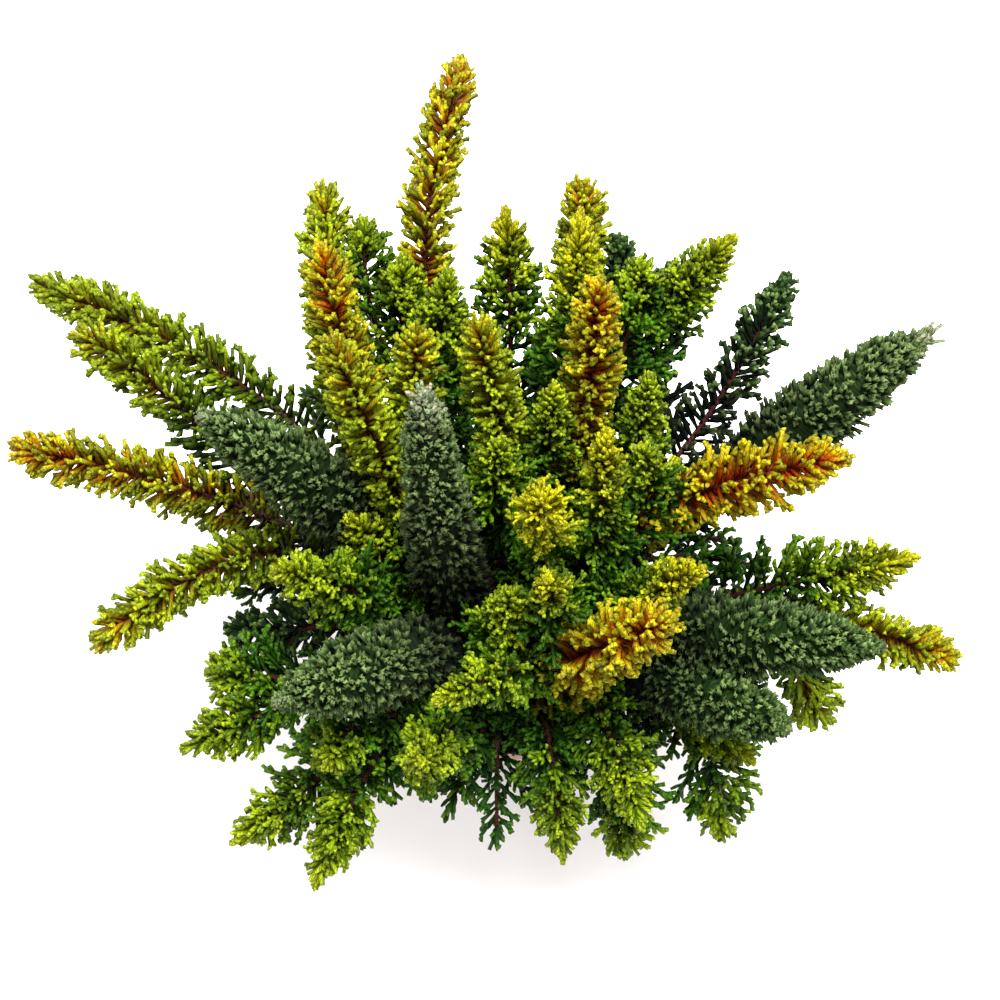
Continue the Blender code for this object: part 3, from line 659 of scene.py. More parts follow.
def add_leafy_shoot(bundle, rng, line, look, forked, tone, finish, strays=0, thin=1.0):
    """One shoot. Twigs leave its stem a golden angle apart, closer together towards the tip, and the last ones
    end at the line's tip. Long low twigs carry side twiglets in a loose fan. thin widens the spacing."""
    curve = Curve(line)
    top = curve.length - 0.8 * look["lengths"][-1] * MM
    add_stem(bundle, curve, forked, tone, top, 0.0006)
    start = look["from"] * curve.length if not forked else 0.06 * curve.length
    leafy = top - start
    if look["inner"]:
        add_inner_leaves(bundle, rng, curve, start, leafy, look, tone, finish)
    if strays:
        add_strays(bundle, rng, curve, top, strays, look["radius"] * MM, finish)
    grid = np.linspace(0, 1, 400)
    dense = 1 / np.interp(grid, look["places"], look["gaps"])
    total = np.concatenate(([0], np.cumsum((dense[1:] + dense[:-1]) / 2)))
    count = max(8, int(total[-1] / 399 * leafy * 1000 / thin))
    share = np.interp((np.arange(count) + rng.uniform(0.2, 0.8, count)) / count * total[-1], total, grid)
    where = start + share * leafy
    point, tangent, across, over = curve.frames(where)
    turn = np.arange(count) * GOLDEN_ANGLE + rng.uniform(-0.5, 0.5, count) + rng.uniform(0, 6.28)
    out = np.cos(turn)[:, None] * across + np.sin(turn)[:, None] * over
    lean = np.radians(np.interp(share, look["places"], look["leans"]) + rng.uniform(-9, 9, count))
    direction = unit(np.cos(lean)[:, None] * tangent + np.sin(lean)[:, None] * out)
    length = np.interp(share, look["places"], look["lengths"]) * rng.uniform(0.82, 1.16, count) * MM
    bow = unit(tangent * 0.8 + np.array((0, 0, 0.5)) + rng.normal(0, 0.25, (count, 3))) * 0.16
    radius = look["radius"] * MM * rng.uniform(0.9, 1.1, count) * np.interp(share, (0, 0.85, 1), (1.0, 1.0, 0.85))
    growth = np.stack((where / curve.length, 0 * share, rng.uniform(0, 1, count), 0 * share + tone), -1)
    branched = length > look["branched"] * MM
    clear = clears_pot(point, direction, bow, length)
    for chosen, outline in ((clear & ~branched, look["outline"]), (clear & branched, BRANCH)):
        twigs = (point[chosen], direction[chosen], bow[chosen], length[chosen], radius[chosen])
        add_twigs(bundle, rng, *twigs, outline, growth[chosen], finish)
    if chosen.any():
        add_twiglets(bundle, rng, *twigs, look, growth[chosen], finish)


def clears_pot(root, direction, bow, length):
    """True for each twig that, with its twiglets, keeps away from the pot's wall and rim."""
    u = np.array((0.0, 0.35, 0.7, 1.0))[:, None, None]
    spots = root + length[:, None] * (u * direction + u**2 * bow)
    aside = np.abs(np.linalg.norm(spots[..., :2], axis=-1) - POT_RIM_RADIUS)
    near = (aside < 6.5 * MM) & (spots[..., 2] < POT_HEIGHT + 3.5 * MM)
    return ~near.any(axis=0)


def add_strays(bundle, rng, curve, top, count, radius, finish):
    """Pale twigs that stand out of a shoot's tip in a loose cone, longer than the rest."""
    root, tangent, across, over = curve.frames(top - np.linspace(-0.001, 0.008, count))
    turn = np.arange(count) * GOLDEN_ANGLE
    lean = np.radians(rng.uniform(0, 48, count))
    out = np.cos(turn)[:, None] * across + np.sin(turn)[:, None] * over
    direction = np.cos(lean)[:, None] * tangent + np.sin(lean)[:, None] * out
    bow = rng.normal(0, 0.12, (count, 3))
    length = rng.uniform(0.0055, 0.0085, count)
    growth = np.stack((np.ones(count), 0 * lean, rng.uniform(0.2, 1, count), np.ones(count)), -1)
    add_twigs(bundle, rng, root, direction, bow, length, radius * 0.9 + 0 * lean, SLENDER_TWIG, growth, finish)


def add_twiglets(bundle, rng, root, direction, bow, length, radius, look, growth, finish):
    """Short side twiglets of the long twigs, in a loose fan: a step apart along the outer part of the twig,
    turned about a third of a circle from one to the next, and shorter towards the twig's end."""
    counts = np.maximum(2, (length * (1 - look["fan"]) / (look["step"] * MM)).astype(int))
    owner = np.repeat(np.arange(len(root)), counts)
    index = np.arange(len(owner)) - np.repeat(np.cumsum(counts) - counts, counts)
    step = look["fan"] + (0.93 - look["fan"]) * (index + rng.uniform(0.2, 0.8, len(owner))) / counts[owner]
    spot = root[owner] + length[owner, None] * (step[:, None] * direction[owner] + step[:, None] ** 2 * bow[owner])
    wide, high = cross_pair(direction[owner])
    spin = index * math.pi * 0.62 + rng.uniform(0, 2 * math.pi, len(root))[owner]
    aside = np.cos(spin)[:, None] * wide + np.sin(spin)[:, None] * high
    heading = unit(0.80 * direction[owner] + 0.66 * aside)
    reach = (1.5 * MM + length[owner] * (0.26 - 0.18 * step)) * rng.uniform(0.85, 1.15, len(owner))
    values = growth[owner].copy()
    values[:, 1] = step * 0.9
    values[:, 2] = np.clip(values[:, 2] + rng.uniform(-0.2, 0.2, len(owner)), 0, 1)
    add_twigs(bundle, rng, spot, heading, 0.12 * unit(bow[owner]), reach, radius[owner], TWIGLET, values, finish)


def linear(code):
    """An sRGB hex colour as the linear values that a shader takes."""
    parts = [int(code[i : i + 2], 16) / 255 for i in (1, 3, 5)]
    return tuple(c / 12.92 if c <= 0.04045 else ((c + 0.055) / 1.055) ** 2.4 for c in parts) + (1.0,)


def add_node(tree, kind, inputs=None, **settings):
    """Adds a node, sets its settings, and sets or links each named or numbered input."""
    node = tree.nodes.new(kind)
    for name, value in settings.items():
        setattr(node, name, value)
    for name, value in (inputs or {}).items():
        if isinstance(value, bpy.types.NodeSocket):
            tree.links.new(value, node.inputs[name])
        else:
            node.inputs[name].default_value = value
    return node


def ramp(tree, factor, stops):
    """A colour ramp from (position, hex colour) stops."""
    node = add_node(tree, "ShaderNodeValToRGB", {"Fac": factor})
    elements = node.color_ramp.elements
    for index, (position, code) in enumerate(stops):
        element = elements[index] if index < 2 else elements.new(position)
        element.position = position
        element.color = linear(code)
    return node.outputs["Color"]


def blend_colour(tree, factor, first, second, mode="MIX"):
    """One colour mixed over another."""
    node = add_node(tree, "ShaderNodeMix", data_type="RGBA", blend_type=mode)
    for name, value in ((0, factor), (6, first), (7, second)):
        if isinstance(value, bpy.types.NodeSocket):
            tree.links.new(value, node.inputs[name])
        else:
            node.inputs[name].default_value = value
    return node.outputs[2]


def new_material(name, roughness, **values):
    """A Principled material with the given plain values, its node tree and its shader."""
    material = bpy.data.materials.new(name)
    material.use_nodes = True
    shader = material.node_tree.nodes["Principled BSDF"]
    shader.inputs["Roughness"].default_value = roughness
    for key, value in values.items():
        shader.inputs[key.replace("_", " ")].default_value = value
    return material, material.node_tree, shader


def growth_values(tree):
    """The growth attribute's four values: share along the shoot, share along the twig, a random value that also
    carries painted shade, and tone.
    """
    attribute = add_node(tree, "ShaderNodeAttribute", attribute_name="growth")
    split = add_node(tree, "ShaderNodeSeparateColor", {"Color": attribute.outputs["Color"]})
    return split.outputs["Red"], split.outputs["Green"], split.outputs["Blue"], attribute.outputs["Alpha"]


def maths(tree, operation, first, second, clamp=False):
    """One sum of two values."""
    return add_node(tree, "ShaderNodeMath", {0: first, 1: second}, operation=operation, use_clamp=clamp).outputs[0]


def spread(tree, value, low, high):
    """A value mapped from low..high to 0..1 with soft ends."""
    node = add_node(
        tree, "ShaderNodeMapRange", {"Value": value, "From Min": low, "From Max": high},
        interpolation_type="SMOOTHSTEP",
    )
    return node.outputs["Result"]


def leaf_finish(tree, shader, colour, chance_and_painted_shade, painted_low_shade):
    """Shared leaf look: overlapping scale leaves, each with painted shade where the last one's tip covers it and
    lighter towards its own tip, staggered from row to row; twigs a little lighter or darker at random, with painted
    shade in the dips beside leaf tips and on the close inner leaves; a fine grain; and painted shade over the low part
    of each shoot."""
    shader.inputs["Specular IOR Level"].default_value = 0.12
    place_node = add_node(tree, "ShaderNodeTexCoord")
    grain = add_node(
        tree, "ShaderNodeTexNoise", {"Vector": place_node.outputs["Object"], "Scale": 900.0, "Detail": 2.0}
    )
    rows = add_node(tree, "ShaderNodeAttribute", attribute_name="leaf_rows")
    rows = add_node(tree, "ShaderNodeSeparateXYZ", {"Vector": rows.outputs["Vector"]})
    leaf = maths(tree, "ADD", rows.outputs["X"], maths(tree, "MULTIPLY", rows.outputs["Y"], 0.5))
    leaf = maths(tree, "FRACT", leaf, 0.0)
    shade = ramp(tree, leaf, ((0.0, "#606060"), (0.22, "#A8A8A8"), (0.70, "#F4F4F4"), (1.0, "#FFFFFF")))
    colour = blend_colour(tree, 0.85, colour, shade, "MULTIPLY")
    # Random lightness by twig and leaf, and painted shade where that value was lowered: in the dips beside leaf tips
    # and on the close inner leaves.
    light = ramp(tree, chance_and_painted_shade, ((0.0, "#8E8E8E"), (0.5, "#BABABA"), (1.0, "#E2E2E2")))
    colour = blend_colour(tree, 1.0, colour, light, "MULTIPLY")
    speck = ramp(tree, grain.outputs["Fac"], ((0.30, "#B8B8B8"), (0.62, "#FFFFFF")))
    colour = blend_colour(tree, 0.45, colour, speck, "MULTIPLY")
    # Painted shade: the low part of each shoot, inside the bush, darkened with a grey multiply.
    colour = blend_colour(tree, painted_low_shade, colour, blend_colour(tree, 1.0, colour, linear("#6A6A60"), "MULTIPLY"))
    height = maths(tree, "ADD", leaf, maths(tree, "MULTIPLY", grain.outputs["Fac"], 0.5))
    bump = add_node(tree, "ShaderNodeBump", {"Height": height, "Strength": 0.5, "Distance": 0.0003})
    tree.links.new(colour, shader.inputs["Base Color"])
    tree.links.new(bump.outputs["Normal"], shader.inputs["Normal"])


def gold_leaf():
    """Young heather leaf turned by cold and sun: waxy, red where the twig leaves the stem, through orange and
    yellow to yellow-green at its end. Older leaves low on the shoot are green."""
    material, tree, shader = new_material("gold_heather_leaf", 0.52, IOR=1.42)
    shoot, twig, chance_and_painted_shade, tone = growth_values(tree)
    stops = ((0.0, "#9A200A"), (0.30, "#E24E0A"), (0.54, "#EE8E0C"), (0.76, "#EABE10"), (1.0, "#DCD41A"))
    warm = ramp(tree, twig, stops)
    cool = ramp(tree, twig, ((0.0, "#803C0A"), (0.20, "#A8840C"), (0.46, "#AAB010"), (1.0, "#B6D022")))
    green = ramp(tree, twig, ((0.0, "#1C3806"), (0.45, "#406C08"), (1.0, "#7CA210")))
    heat = maths(tree, "ADD", maths(tree, "MULTIPLY", tone, 1.2), maths(tree, "MULTIPLY", chance_and_painted_shade, 0.25))
    heat = maths(tree, "ADD", heat, maths(tree, "MULTIPLY", spread(tree, shoot, 0.78, 1.0), 0.30))
    young = blend_colour(tree, spread(tree, heat, 0.55, 1.25), cool, warm)
    age = maths(tree, "ADD", shoot, maths(tree, "MULTIPLY", chance_and_painted_shade, 0.14))
    age = maths(tree, "ADD", age, maths(tree, "MULTIPLY", tone, 0.28))
    colour = blend_colour(tree, spread(tree, age, 0.52, 0.94), green, young)
    # Painted shade, strongest at the shoot's foot and gone above 0.62 of its length.
    painted_low_shade = spread(tree, shoot, 0.62, 0.12)
    leaf_finish(tree, shader, colour, chance_and_painted_shade, painted_low_shade)
    return material


def lime_leaf():
    """Fresh heather leaf: bright yellow-green at the shoot's tip, leaf green half way, deep green low down."""
    material, tree, shader = new_material("lime_heather_leaf", 0.50, IOR=1.42)
    shoot, twig, chance_and_painted_shade, tone = growth_values(tree)
    bright = ramp(tree, twig, ((0.0, "#8A8006"), (0.40, "#C8BE08"), (1.0, "#E6E016")))
    fresh = ramp(tree, twig, ((0.0, "#4C6C08"), (0.45, "#86A60C"), (1.0, "#B6CC1E")))
    green = ramp(tree, twig, ((0.0, "#14340A"), (0.50, "#2E640C"), (1.0, "#5A9616")))
    glow = spread(tree, maths(tree, "ADD", shoot, maths(tree, "MULTIPLY", tone, 0.50)), 1.16, 1.46)
    young = blend_colour(tree, glow, fresh, bright)
    age = maths(tree, "ADD", shoot, maths(tree, "MULTIPLY", chance_and_painted_shade, 0.20))
    colour = blend_colour(tree, spread(tree, age, 0.70, 1.06), green, young)
    # Painted shade, strongest at the shoot's foot and gone above 0.62 of its length.
    painted_low_shade = spread(tree, shoot, 0.62, 0.12)
    leaf_finish(tree, shader, colour, chance_and_painted_shade, painted_low_shade)
    return material


def dark_leaf():
    """Old heather leaf in the shade of the bush: deep green, a little lighter at the ends of the twigs."""
    material, tree, shader = new_material("dark_heather_leaf", 0.55, IOR=1.42)
    shoot, twig, chance_and_painted_shade, tone = growth_values(tree)
    colour = ramp(tree, twig, ((0.0, "#0C2408"), (0.50, "#1C4C0C"), (1.0, "#387814")))
    light = ramp(tree, twig, ((0.0, "#20400A"), (0.50, "#42760E"), (1.0, "#72A01A")))
    age = maths(tree, "ADD", shoot, maths(tree, "MULTIPLY", chance_and_painted_shade, 0.30))
    colour = blend_colour(tree, spread(tree, age, 0.85, 1.25), colour, light)
    # Painted shade, strongest at the shoot's foot and gone above 0.60 of its length.
    painted_low_shade = spread(tree, shoot, 0.60, 0.10)
    leaf_finish(tree, shader, colour, chance_and_painted_shade, painted_low_shade)
    return material


def silver_leaf():
    """Downy heather leaf: grey-green with a soft sheen from its hairs, and pale, slightly rosy ends where the
    shoot's tip is in bud."""
    material, tree, shader = new_material(
        "silver_heather_leaf", 0.80, Sheen_Weight=0.01, Sheen_Roughness=0.5, IOR=1.42
    )
    shoot, twig, chance_and_painted_shade, tone = growth_values(tree)
    plain = ramp(tree, twig, ((0.30, "#15320C"), (0.87, "#2A5214"), (1.0, "#5A8030")))
    downy = ramp(tree, twig, ((0.68, "#14240A"), (0.87, "#3E5A24"), (1.0, "#88A05C")))
    hoary = maths(tree, "ADD", maths(tree, "MULTIPLY", tone, 0.7), maths(tree, "MULTIPLY", chance_and_painted_shade, 0.7))
    body = blend_colour(tree, spread(tree, hoary, 0.15, 1.05), plain, downy)
    pale = ramp(tree, twig, ((0.0, "#66763C"), (0.62, "#90A468"), (1.0, "#C2D0A0")))
    rosy = ramp(tree, twig, ((0.0, "#5C4A3C"), (0.62, "#98806C"), (1.0, "#C4B09C")))
    bud = blend_colour(tree, spread(tree, chance_and_painted_shade, 0.72, 0.98), pale, rosy)
    end = maths(tree, "ADD", shoot, maths(tree, "MULTIPLY", tone, 0.08))
    colour = blend_colour(tree, spread(tree, end, 0.99, 1.07), body, bud)
    # Painted shade over the low part of the shoot, gone above 0.86 of its length.
    painted_low_shade = spread(tree, shoot, 0.86, 0.44)
    leaf_finish(tree, shader, colour, chance_and_painted_shade, painted_low_shade)
    return material


def bark():
    """Thin heather bark: dull purple-brown on young wood, grey-brown and flaking in long strips lower down."""
    material, tree, shader = new_material("heather_bark", 0.82, IOR=1.45)
    shoot, _, _, _ = growth_values(tree)
    spot = add_node(tree, "ShaderNodeTexCoord").outputs["Object"]
    strips = add_node(tree, "ShaderNodeMapping", {"Vector": spot, "Scale": (1.0, 1.0, 0.18)})
    flakes = add_node(
        tree, "ShaderNodeTexNoise", {"Vector": strips.outputs["Vector"], "Scale": 1600.0, "Detail": 4.0}
    )
    shader.inputs["Specular IOR Level"].default_value = 0.2
    old = ramp(tree, flakes.outputs["Fac"], ((0.32, "#241812"), (0.55, "#4A3628"), (0.75, "#78604C")))
    young = ramp(tree, flakes.outputs["Fac"], ((0.32, "#1C0808"), (0.70, "#44140E")))
    colour = blend_colour(tree, spread(tree, shoot, 0.30, 0.65), old, young)
    bump = add_node(tree, "ShaderNodeBump", {"Height": flakes.outputs["Fac"], "Strength": 0.6, "Distance": 0.0002})
    tree.links.new(colour, shader.inputs["Base Color"])
    tree.links.new(bump.outputs["Normal"], shader.inputs["Normal"])
    return material


def moist_peat():
    """Moist potting peat: near black crumbs of 1 to 3 mm with brown fibres, quite without gloss."""
    material, tree, shader = new_material("moist_peat", 0.95, IOR=1.4)
    spot = add_node(tree, "ShaderNodeTexCoord").outputs["Object"]
    crumbs = add_node(tree, "ShaderNodeTexVoronoi", {"Vector": spot, "Scale": 480.0})
    fibres = add_node(tree, "ShaderNodeTexNoise", {"Vector": spot, "Scale": 1400.0, "Detail": 5.0})
    colour = ramp(tree, fibres.outputs["Fac"], ((0.30, "#120C08"), (0.55, "#2E2017"), (0.78, "#5A4230")))
    # Painted shade: each crumb darker towards its rim, in the gaps between crumbs.
    edge = ramp(tree, crumbs.outputs["Distance"], ((0.0, "#FFFFFF"), (0.75, "#6A625C")))
    colour = blend_colour(tree, 0.8, colour, edge, "MULTIPLY")
    height = maths(tree, "SUBTRACT", fibres.outputs["Fac"], crumbs.outputs["Distance"])
    bump = add_node(tree, "ShaderNodeBump", {"Height": height, "Strength": 0.9, "Distance": 0.0008})
    tree.links.new(colour, shader.inputs["Base Color"])
    tree.links.new(bump.outputs["Normal"], shader.inputs["Normal"])
    return material


def pot_plastic():
    """Injection-moulded polypropylene in clay red: satin, with a faint spark-eroded grain, slight flow marks
    down the wall, and a little dust and dried water, more towards the foot."""
    material, tree, shader = new_material("moulded_polypropylene", 0.46, IOR=1.49)
    spot = add_node(tree, "ShaderNodeTexCoord").outputs["Object"]
    grain = add_node(tree, "ShaderNodeTexNoise", {"Vector": spot, "Scale": 2600.0, "Detail": 2.0})
    long_way = add_node(tree, "ShaderNodeMapping", {"Vector": spot, "Scale": (1.0, 1.0, 0.12)})
    flow = add_node(tree, "ShaderNodeTexNoise", {"Vector": long_way.outputs["Vector"], "Scale": 130.0, "Detail": 3.0})
    dust = add_node(tree, "ShaderNodeTexNoise", {"Vector": spot, "Scale": 60.0, "Detail": 6.0, "Roughness": 0.65})
    body = ramp(tree, flow.outputs["Fac"], ((0.30, "#76381C"), (0.70, "#844222")))
    split = add_node(tree, "ShaderNodeSeparateXYZ", {"Vector": spot})
    low = spread(tree, split.outputs["Z"], 0.045, 0.0)
    amount = maths(tree, "MULTIPLY", spread(tree, dust.outputs["Fac"], 0.42, 0.72), maths(tree, "ADD", low, 0.25))
    amount = maths(tree, "MULTIPLY", amount, 0.30)
    colour = blend_colour(tree, amount, body, linear("#B8A48E"))
    rough = add_node(tree, "ShaderNodeMapRange", {"Value": amount, "To Min": 0.40, "To Max": 0.72})
    bump = add_node(tree, "ShaderNodeBump", {"Height": grain.outputs["Fac"], "Strength": 0.12, "Distance": 0.0002})
    tree.links.new(colour, shader.inputs["Base Color"])
    tree.links.new(rough.outputs["Result"], shader.inputs["Roughness"])
    tree.links.new(bump.outputs["Normal"], shader.inputs["Normal"])
    return material


def mesh_piece(name, points, triangles, materials, finish=None, growth=None, smooth=True):
    """An object at the origin from arrays of points and triangles."""
    mesh = bpy.data.meshes.new(name)
    mesh.vertices.add(len(points))
    mesh.vertices.foreach_set("co", points.astype(np.float32).ravel())
    mesh.loops.add(triangles.size)
    mesh.loops.foreach_set("vertex_index", triangles.astype(np.int32).ravel())
    mesh.polygons.add(len(triangles))
    mesh.polygons.foreach_set("loop_start", np.arange(0, triangles.size, 3, dtype=np.int32))
    mesh.update(calc_edges=True)
    for material in materials:
        mesh.materials.append(material)
    if finish is not None:
        mesh.polygons.foreach_set("material_index", finish.astype(np.int32))
    if growth is not None:
        layer = mesh.attributes.new("growth", "FLOAT_COLOR", "POINT")
        layer.data.foreach_set("color", growth[:, :4].astype(np.float32).ravel())
        layer = mesh.attributes.new("leaf_rows", "FLOAT2", "POINT")
        layer.data.foreach_set("vector", growth[:, 4:].astype(np.float32).ravel())
    if smooth:
        mesh.shade_smooth()
    mesh.validate()
    piece = bpy.data.objects.new(name, mesh)
    bpy.context.scene.collection.objects.link(piece)
    return piece


def bundle_piece(name, bundle, materials):
    """One object from a bundle."""
    return mesh_piece(
        name,
        np.concatenate(bundle.points),
        np.concatenate(bundle.triangles),
        materials,
        np.concatenate(bundle.finish),
        np.concatenate(bundle.growth),
    )


def make_shoots(finishes, materials):
    """One piece for each main shoot with its side shoots, each standing for the CAD node of its number."""
    lines = bend_clear(first_lines(spread_roots()))
    rows = {row[0]: (row[1], line) for row, line in zip(SHOOTS, lines)}
    triangles = 0
    for number, (kind, line) in rows.items():
        if number in FORKS:
            continue
        bundle = Bundle()
        rng = np.random.default_rng(100 + number)
        sides = [side for side, fork in FORKS.items() if fork[0] == number]
        for one in (number, *sides):
            its_kind, its_line = rows[one]
            look = LOOKS[OTHER_LOOKS.get(one, its_kind)]
            tone, strays = TONES.get(one, 0.4), STRAYS.get(one, 0)
            add_leafy_shoot(bundle, rng, its_line, look, one != number, tone, finishes[its_kind], strays)
        node = f"{kind}_shoot_{number:02d}"
        piece = bundle_piece(f"leafy_{node}", bundle, materials)
        triangles += len(piece.data.polygons)
        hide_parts(node)
        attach(piece, "root")
    return triangles


def make_undergrowth(finishes, materials):
    """Short shady shoots that fill the bush's middle and skirt, a golden angle apart round the pot.
    Shoot i leaves the peat at a radius that grows with the square root of i, and arches outwards."""
    rng = np.random.default_rng(3)
    bundles = [Bundle() for _ in range(UNDERGROWTH_PIECES)]
    shares = np.linspace(0, 1, LINE_POINTS)
    for index in range(UNDERGROWTH_SHOOTS):
        share = math.sqrt((index + 0.5) / UNDERGROWTH_SHOOTS)
        bearing = math.degrees(index * GOLDEN_ANGLE) % 360
        root = 36 * share
        foot = place((bearing, root, peat_height(root * MM) / MM + 2))
        reach = 10 + 70 * share + rng.uniform(-8, 8)
        height = 168 - 46 * share + rng.uniform(-8, 8)
        tip = place((bearing + rng.uniform(-14, 14), reach, height))
        waist = place((bearing, root + 0.45 * (reach - root), height - 2 - 6 * share))
        line = parabola(foot, waist, tip, shares)
        bundle = bundles[int(bearing // (360 / UNDERGROWTH_PIECES))]
        add_leafy_shoot(bundle, rng, line, LOOKS["dark"], False, 0.2, finishes["dark"], thin=1.5)
    triangles = 0
    for index, bundle in enumerate(bundles):
        piece = bundle_piece(f"undergrowth_{index + 1}", bundle, materials)
        triangles += len(piece.data.polygons)
        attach(piece, "root")
    return triangles


def turned_grid(radii, heights, sides, lift=None):
    """Points and triangles of a closed turned surface. Row i lies at radius radii[i] and height heights[i];
    the first and last rows close to a point on the axis. lift adds a height to each corner."""
    angle = np.arange(sides) * 2 * math.pi / sides
    points = np.zeros((len(radii), sides, 3))
    points[..., 0] = radii[:, None] * np.cos(angle)
    points[..., 1] = radii[:, None] * np.sin(angle)
    points[..., 2] = heights[:, None]
    if lift is not None:
        points[..., 2] += lift(points[..., 0], points[..., 1]) * (radii[:, None] > 0)
    row = np.arange(len(radii) - 1)[:, None] * sides
    side = np.arange(sides)[None]
    a, b = row + side, row + (side + 1) % sides
    triangles = np.stack((np.stack((a, b, b + sides), -1), np.stack((a, b + sides, a + sides), -1)), -2)
    return points.reshape(-1, 3), triangles.reshape(-1, 3)


def closed_piece(name, points, triangles, material):
    """A piece whose doubled points are merged and whose faces point outwards."""
    piece = mesh_piece(name, points, triangles, [material])
    bm = bmesh.new()
    bm.from_mesh(piece.data)
    bmesh.ops.remove_doubles(bm, verts=bm.verts, dist=1e-6)
    bmesh.ops.dissolve_degenerate(bm, edges=bm.edges, dist=1e-7)
    bmesh.ops.recalc_face_normals(bm, faces=bm.faces)
    bm.to_mesh(piece.data)
    bm.free()
    return piece


def make_peat(material):
    """A closed potful: a crowned top with crumbs raised by sums of sines, then the side and the bottom."""

    def crumbs(x, y):
        waves = np.zeros_like(x)
        for size, weight, turn in ((0.0061, 0.7, 0.3), (0.0037, 0.5, 1.4), (0.0023, 0.35, 2.2), (0.0016, 0.25, 0.9)):
            u = x * math.cos(turn) + y * math.sin(turn)
            v = y * math.cos(turn) - x * math.sin(turn)
            waves += weight * np.sin(6.28 * u / size + 1.3 * np.sin(6.28 * v / (size * 1.7))) * np.sin(6.28 * v / size)
        return 0.0009 * waves

    edge = POT_RIM_RADIUS - POT_WALL - 0.0005
    top = np.linspace(0, edge, 40)
    radii = np.concatenate((top, (edge, POT_BASE_RADIUS - POT_WALL - 0.0006, 0)))
    heights = np.concatenate((peat_height(top), (POT_HEIGHT - RIM_BAND + 0.0012, POT_FLOOR + 0.0005, POT_FLOOR + 0.0005)))
    radii[-3] = edge - 0.0030
    points, triangles = turned_grid(radii, heights, 144)
    rows = len(top)
    grid = points.reshape(len(radii), 144, 3)
    grid[1:rows, :, 2] += crumbs(grid[1:rows, :, 0], grid[1:rows, :, 1])
    piece = closed_piece("peat_potful", grid.reshape(-1, 3), triangles, material)
    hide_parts("peat")
    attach(piece, "root")
    return len(piece.data.polygons)


def make_pot(material):
    """The moulded pot: a turned wall, step, rim band and floor with rounded edges, then six drain holes cut by
    one Boolean."""
    band = POT_HEIGHT - RIM_BAND
    under = POT_RIM_RADIUS - RIM_STEP
    quarter = np.linspace(0, math.pi / 2, 6)
    foot = [
        (POT_BASE_RADIUS - 0.0016 + 0.0016 * math.sin(a), 0.0016 - 0.0016 * math.cos(a)) for a in quarter
    ]
    wall = [
        (POT_BASE_RADIUS + (under - POT_BASE_RADIUS) * t, 0.0016 + (band - 0.0030) * t) for t in np.linspace(0.1, 1, 8)
    ]
    step = [(under + 0.0004 + 0.0012 * t, band - 0.0004 + 0.0004 * t) for t in (0.0, 1.0)]
    brim = [(POT_RIM_RADIUS - 0.0005 + 0.0005 * math.sin(a), band + 0.0005 - 0.0005 * math.cos(a)) for a in quarter]
    lip = [
        (POT_RIM_RADIUS - 0.0010 + 0.0010 * math.cos(a), POT_HEIGHT - 0.0010 + 0.0010 * math.sin(a))
        for a in np.linspace(0, math.pi, 11)
    ]
    inner = [
        (POT_RIM_RADIUS - POT_WALL, band + 0.0012),
        (under - POT_WALL, band - 0.0012),
        (POT_BASE_RADIUS - POT_WALL, POT_FLOOR + 0.0010),
        (POT_BASE_RADIUS - POT_WALL - 0.0010, POT_FLOOR),
    ]
    profile = np.array([(0, 0), *foot, *wall, *step, *brim, *lip, *inner, (0, POT_FLOOR)])
    points, triangles = turned_grid(profile[:, 0], profile[:, 1], 144)
    piece = closed_piece("moulded_pot", points, triangles, material)
    angles = np.arange(DRAIN_HOLES) * 2 * math.pi / DRAIN_HOLES
    middles = np.stack((np.cos(angles), np.sin(angles), 0 * angles), -1) * DRAIN_CIRCLE
    ends = np.stack((middles - (0, 0, POT_FLOOR), middles + (0, 0, 2 * POT_FLOOR)), 1)
    flat = np.array(((1.0, 0.0, 0.0),)), np.array(((0.0, 1.0, 0.0),))
    radii = np.full((DRAIN_HOLES, 2), DRAIN_RADIUS)
    corners = tube_points(ends, radii, flat[0][None], flat[1][None], 40)
    cutter = closed_piece("drain_cutter", corners.reshape(-1, 3), tube_triangles(DRAIN_HOLES, 2, 40), material)
    boolean = piece.modifiers.new("drains", "BOOLEAN")
    boolean.operation = "DIFFERENCE"
    boolean.object = cutter
    boolean.solver = "EXACT"
    graph = bpy.context.evaluated_depsgraph_get()
    piece.data = bpy.data.meshes.new_from_object(piece.evaluated_get(graph))
    piece.modifiers.clear()
    bpy.data.objects.remove(cutter)
    piece.data.set_sharp_from_angle(angle=math.radians(35))
    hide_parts("pot")
    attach(piece, "root")
    return len(piece.data.polygons)


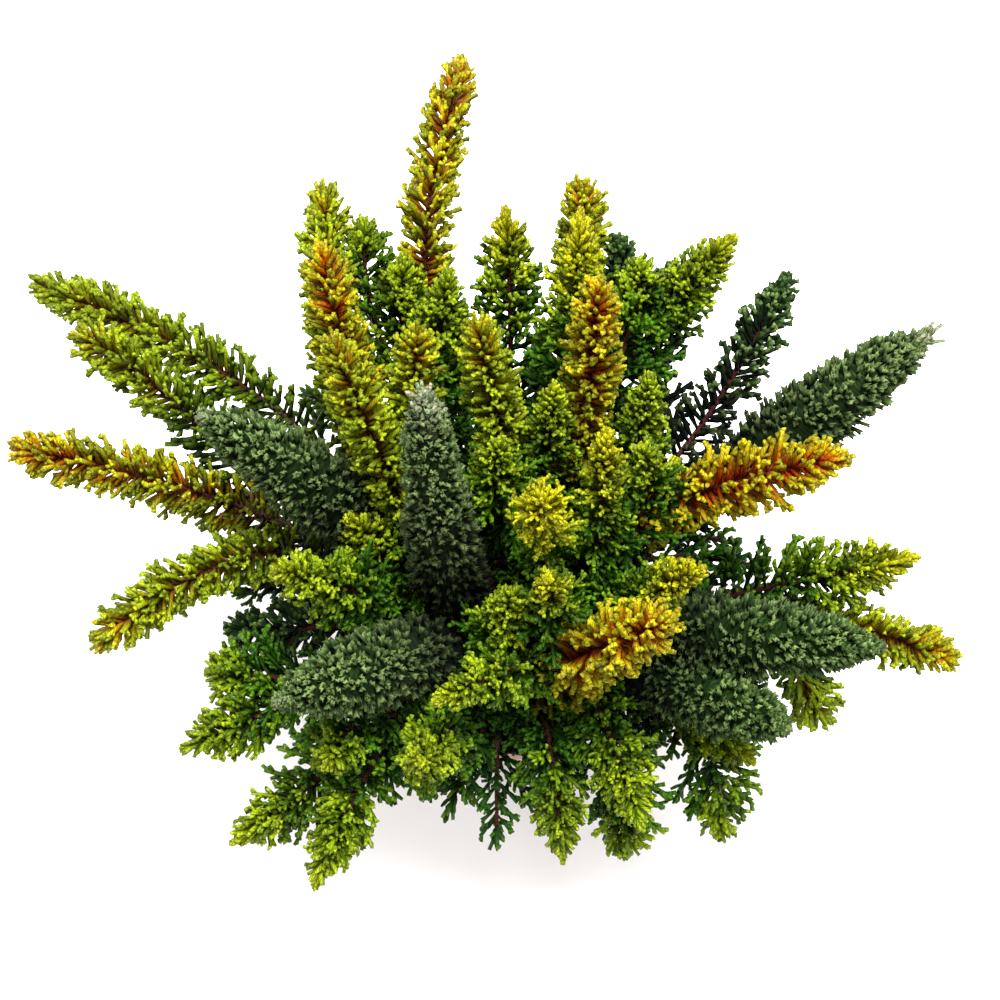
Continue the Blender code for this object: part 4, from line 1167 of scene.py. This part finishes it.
def make_stage():
    """A pale floor, a large soft light overhead, two side softboxes and an even white surround."""
    half = 20.0
    corners = np.array(((-half, -half, 0), (half, -half, 0), (half, half, 0), (-half, half, 0)), float)
    material, tree, shader = new_material("studio_floor", 0.9)
    spot = add_node(tree, "ShaderNodeTexCoord").outputs["Object"]
    mottle = add_node(tree, "ShaderNodeTexNoise", {"Vector": spot, "Scale": 3.0})
    colour = ramp(tree, mottle.outputs["Fac"], ((0.3, "#F6F6F5"), (0.7, "#FAFAFA")))
    tree.links.new(colour, shader.inputs["Base Color"])
    floor = mesh_piece("studio_floor", corners, np.array(((0, 1, 2), (0, 2, 3))), [material], smooth=False)
    lights = (
        ("overhead_softbox", (0.2, 0.5, 2.8), 1.2, 200.0),
        ("left_softbox", (-1.6, 0.9, 1.5), 1.0, 16.0),
        ("right_softbox", (1.5, -0.6, 1.5), 1.0, 10.0),
    )
    for name, position, size, power in lights:
        data = bpy.data.lights.new(name, "AREA")
        data.shape = "SQUARE"
        data.size = size
        data.energy = power
        lamp = bpy.data.objects.new(name, data)
        lamp.location = position
        lamp.rotation_euler = (Vector((0, 0, 0.16)) - Vector(position)).to_track_quat("-Z", "Y").to_euler()
        bpy.context.scene.collection.objects.link(lamp)
    world = bpy.data.worlds.new("even_surround")
    world.use_nodes = True
    world.node_tree.nodes["Background"].inputs["Color"].default_value = (1, 1, 1, 1)
    world.node_tree.nodes["Background"].inputs["Strength"].default_value = 0.8
    bpy.context.scene.world = world
    bpy.context.scene.view_settings.view_transform = "Standard"


def make_camera():
    """The photograph's camera."""
    data = bpy.data.cameras.new("photo_camera")
    data.lens = CAMERA_LENS
    data.sensor_width = 36
    data.clip_start = 0.05
    camera = bpy.data.objects.new("photo_camera", data)
    camera.location = CAMERA_PLACE
    camera.rotation_euler = (Vector(CAMERA_AIM) - Vector(CAMERA_PLACE)).to_track_quat("-Z", "Y").to_euler()
    bpy.context.scene.collection.objects.link(camera)
    bpy.context.scene.camera = camera


materials = [bark(), gold_leaf(), lime_leaf(), dark_leaf(), silver_leaf()]
finishes = {"gold": 1, "lime": 2, "dark": 3, "silver": 4}
make_camera()
make_stage()
made = {
    "shoots": make_shoots(finishes, materials),
    "undergrowth": make_undergrowth(finishes, materials),
    "peat": make_peat(moist_peat()),
    "pot": make_pot(pot_plastic()),
}
print("triangles:", made, sum(made.values()))
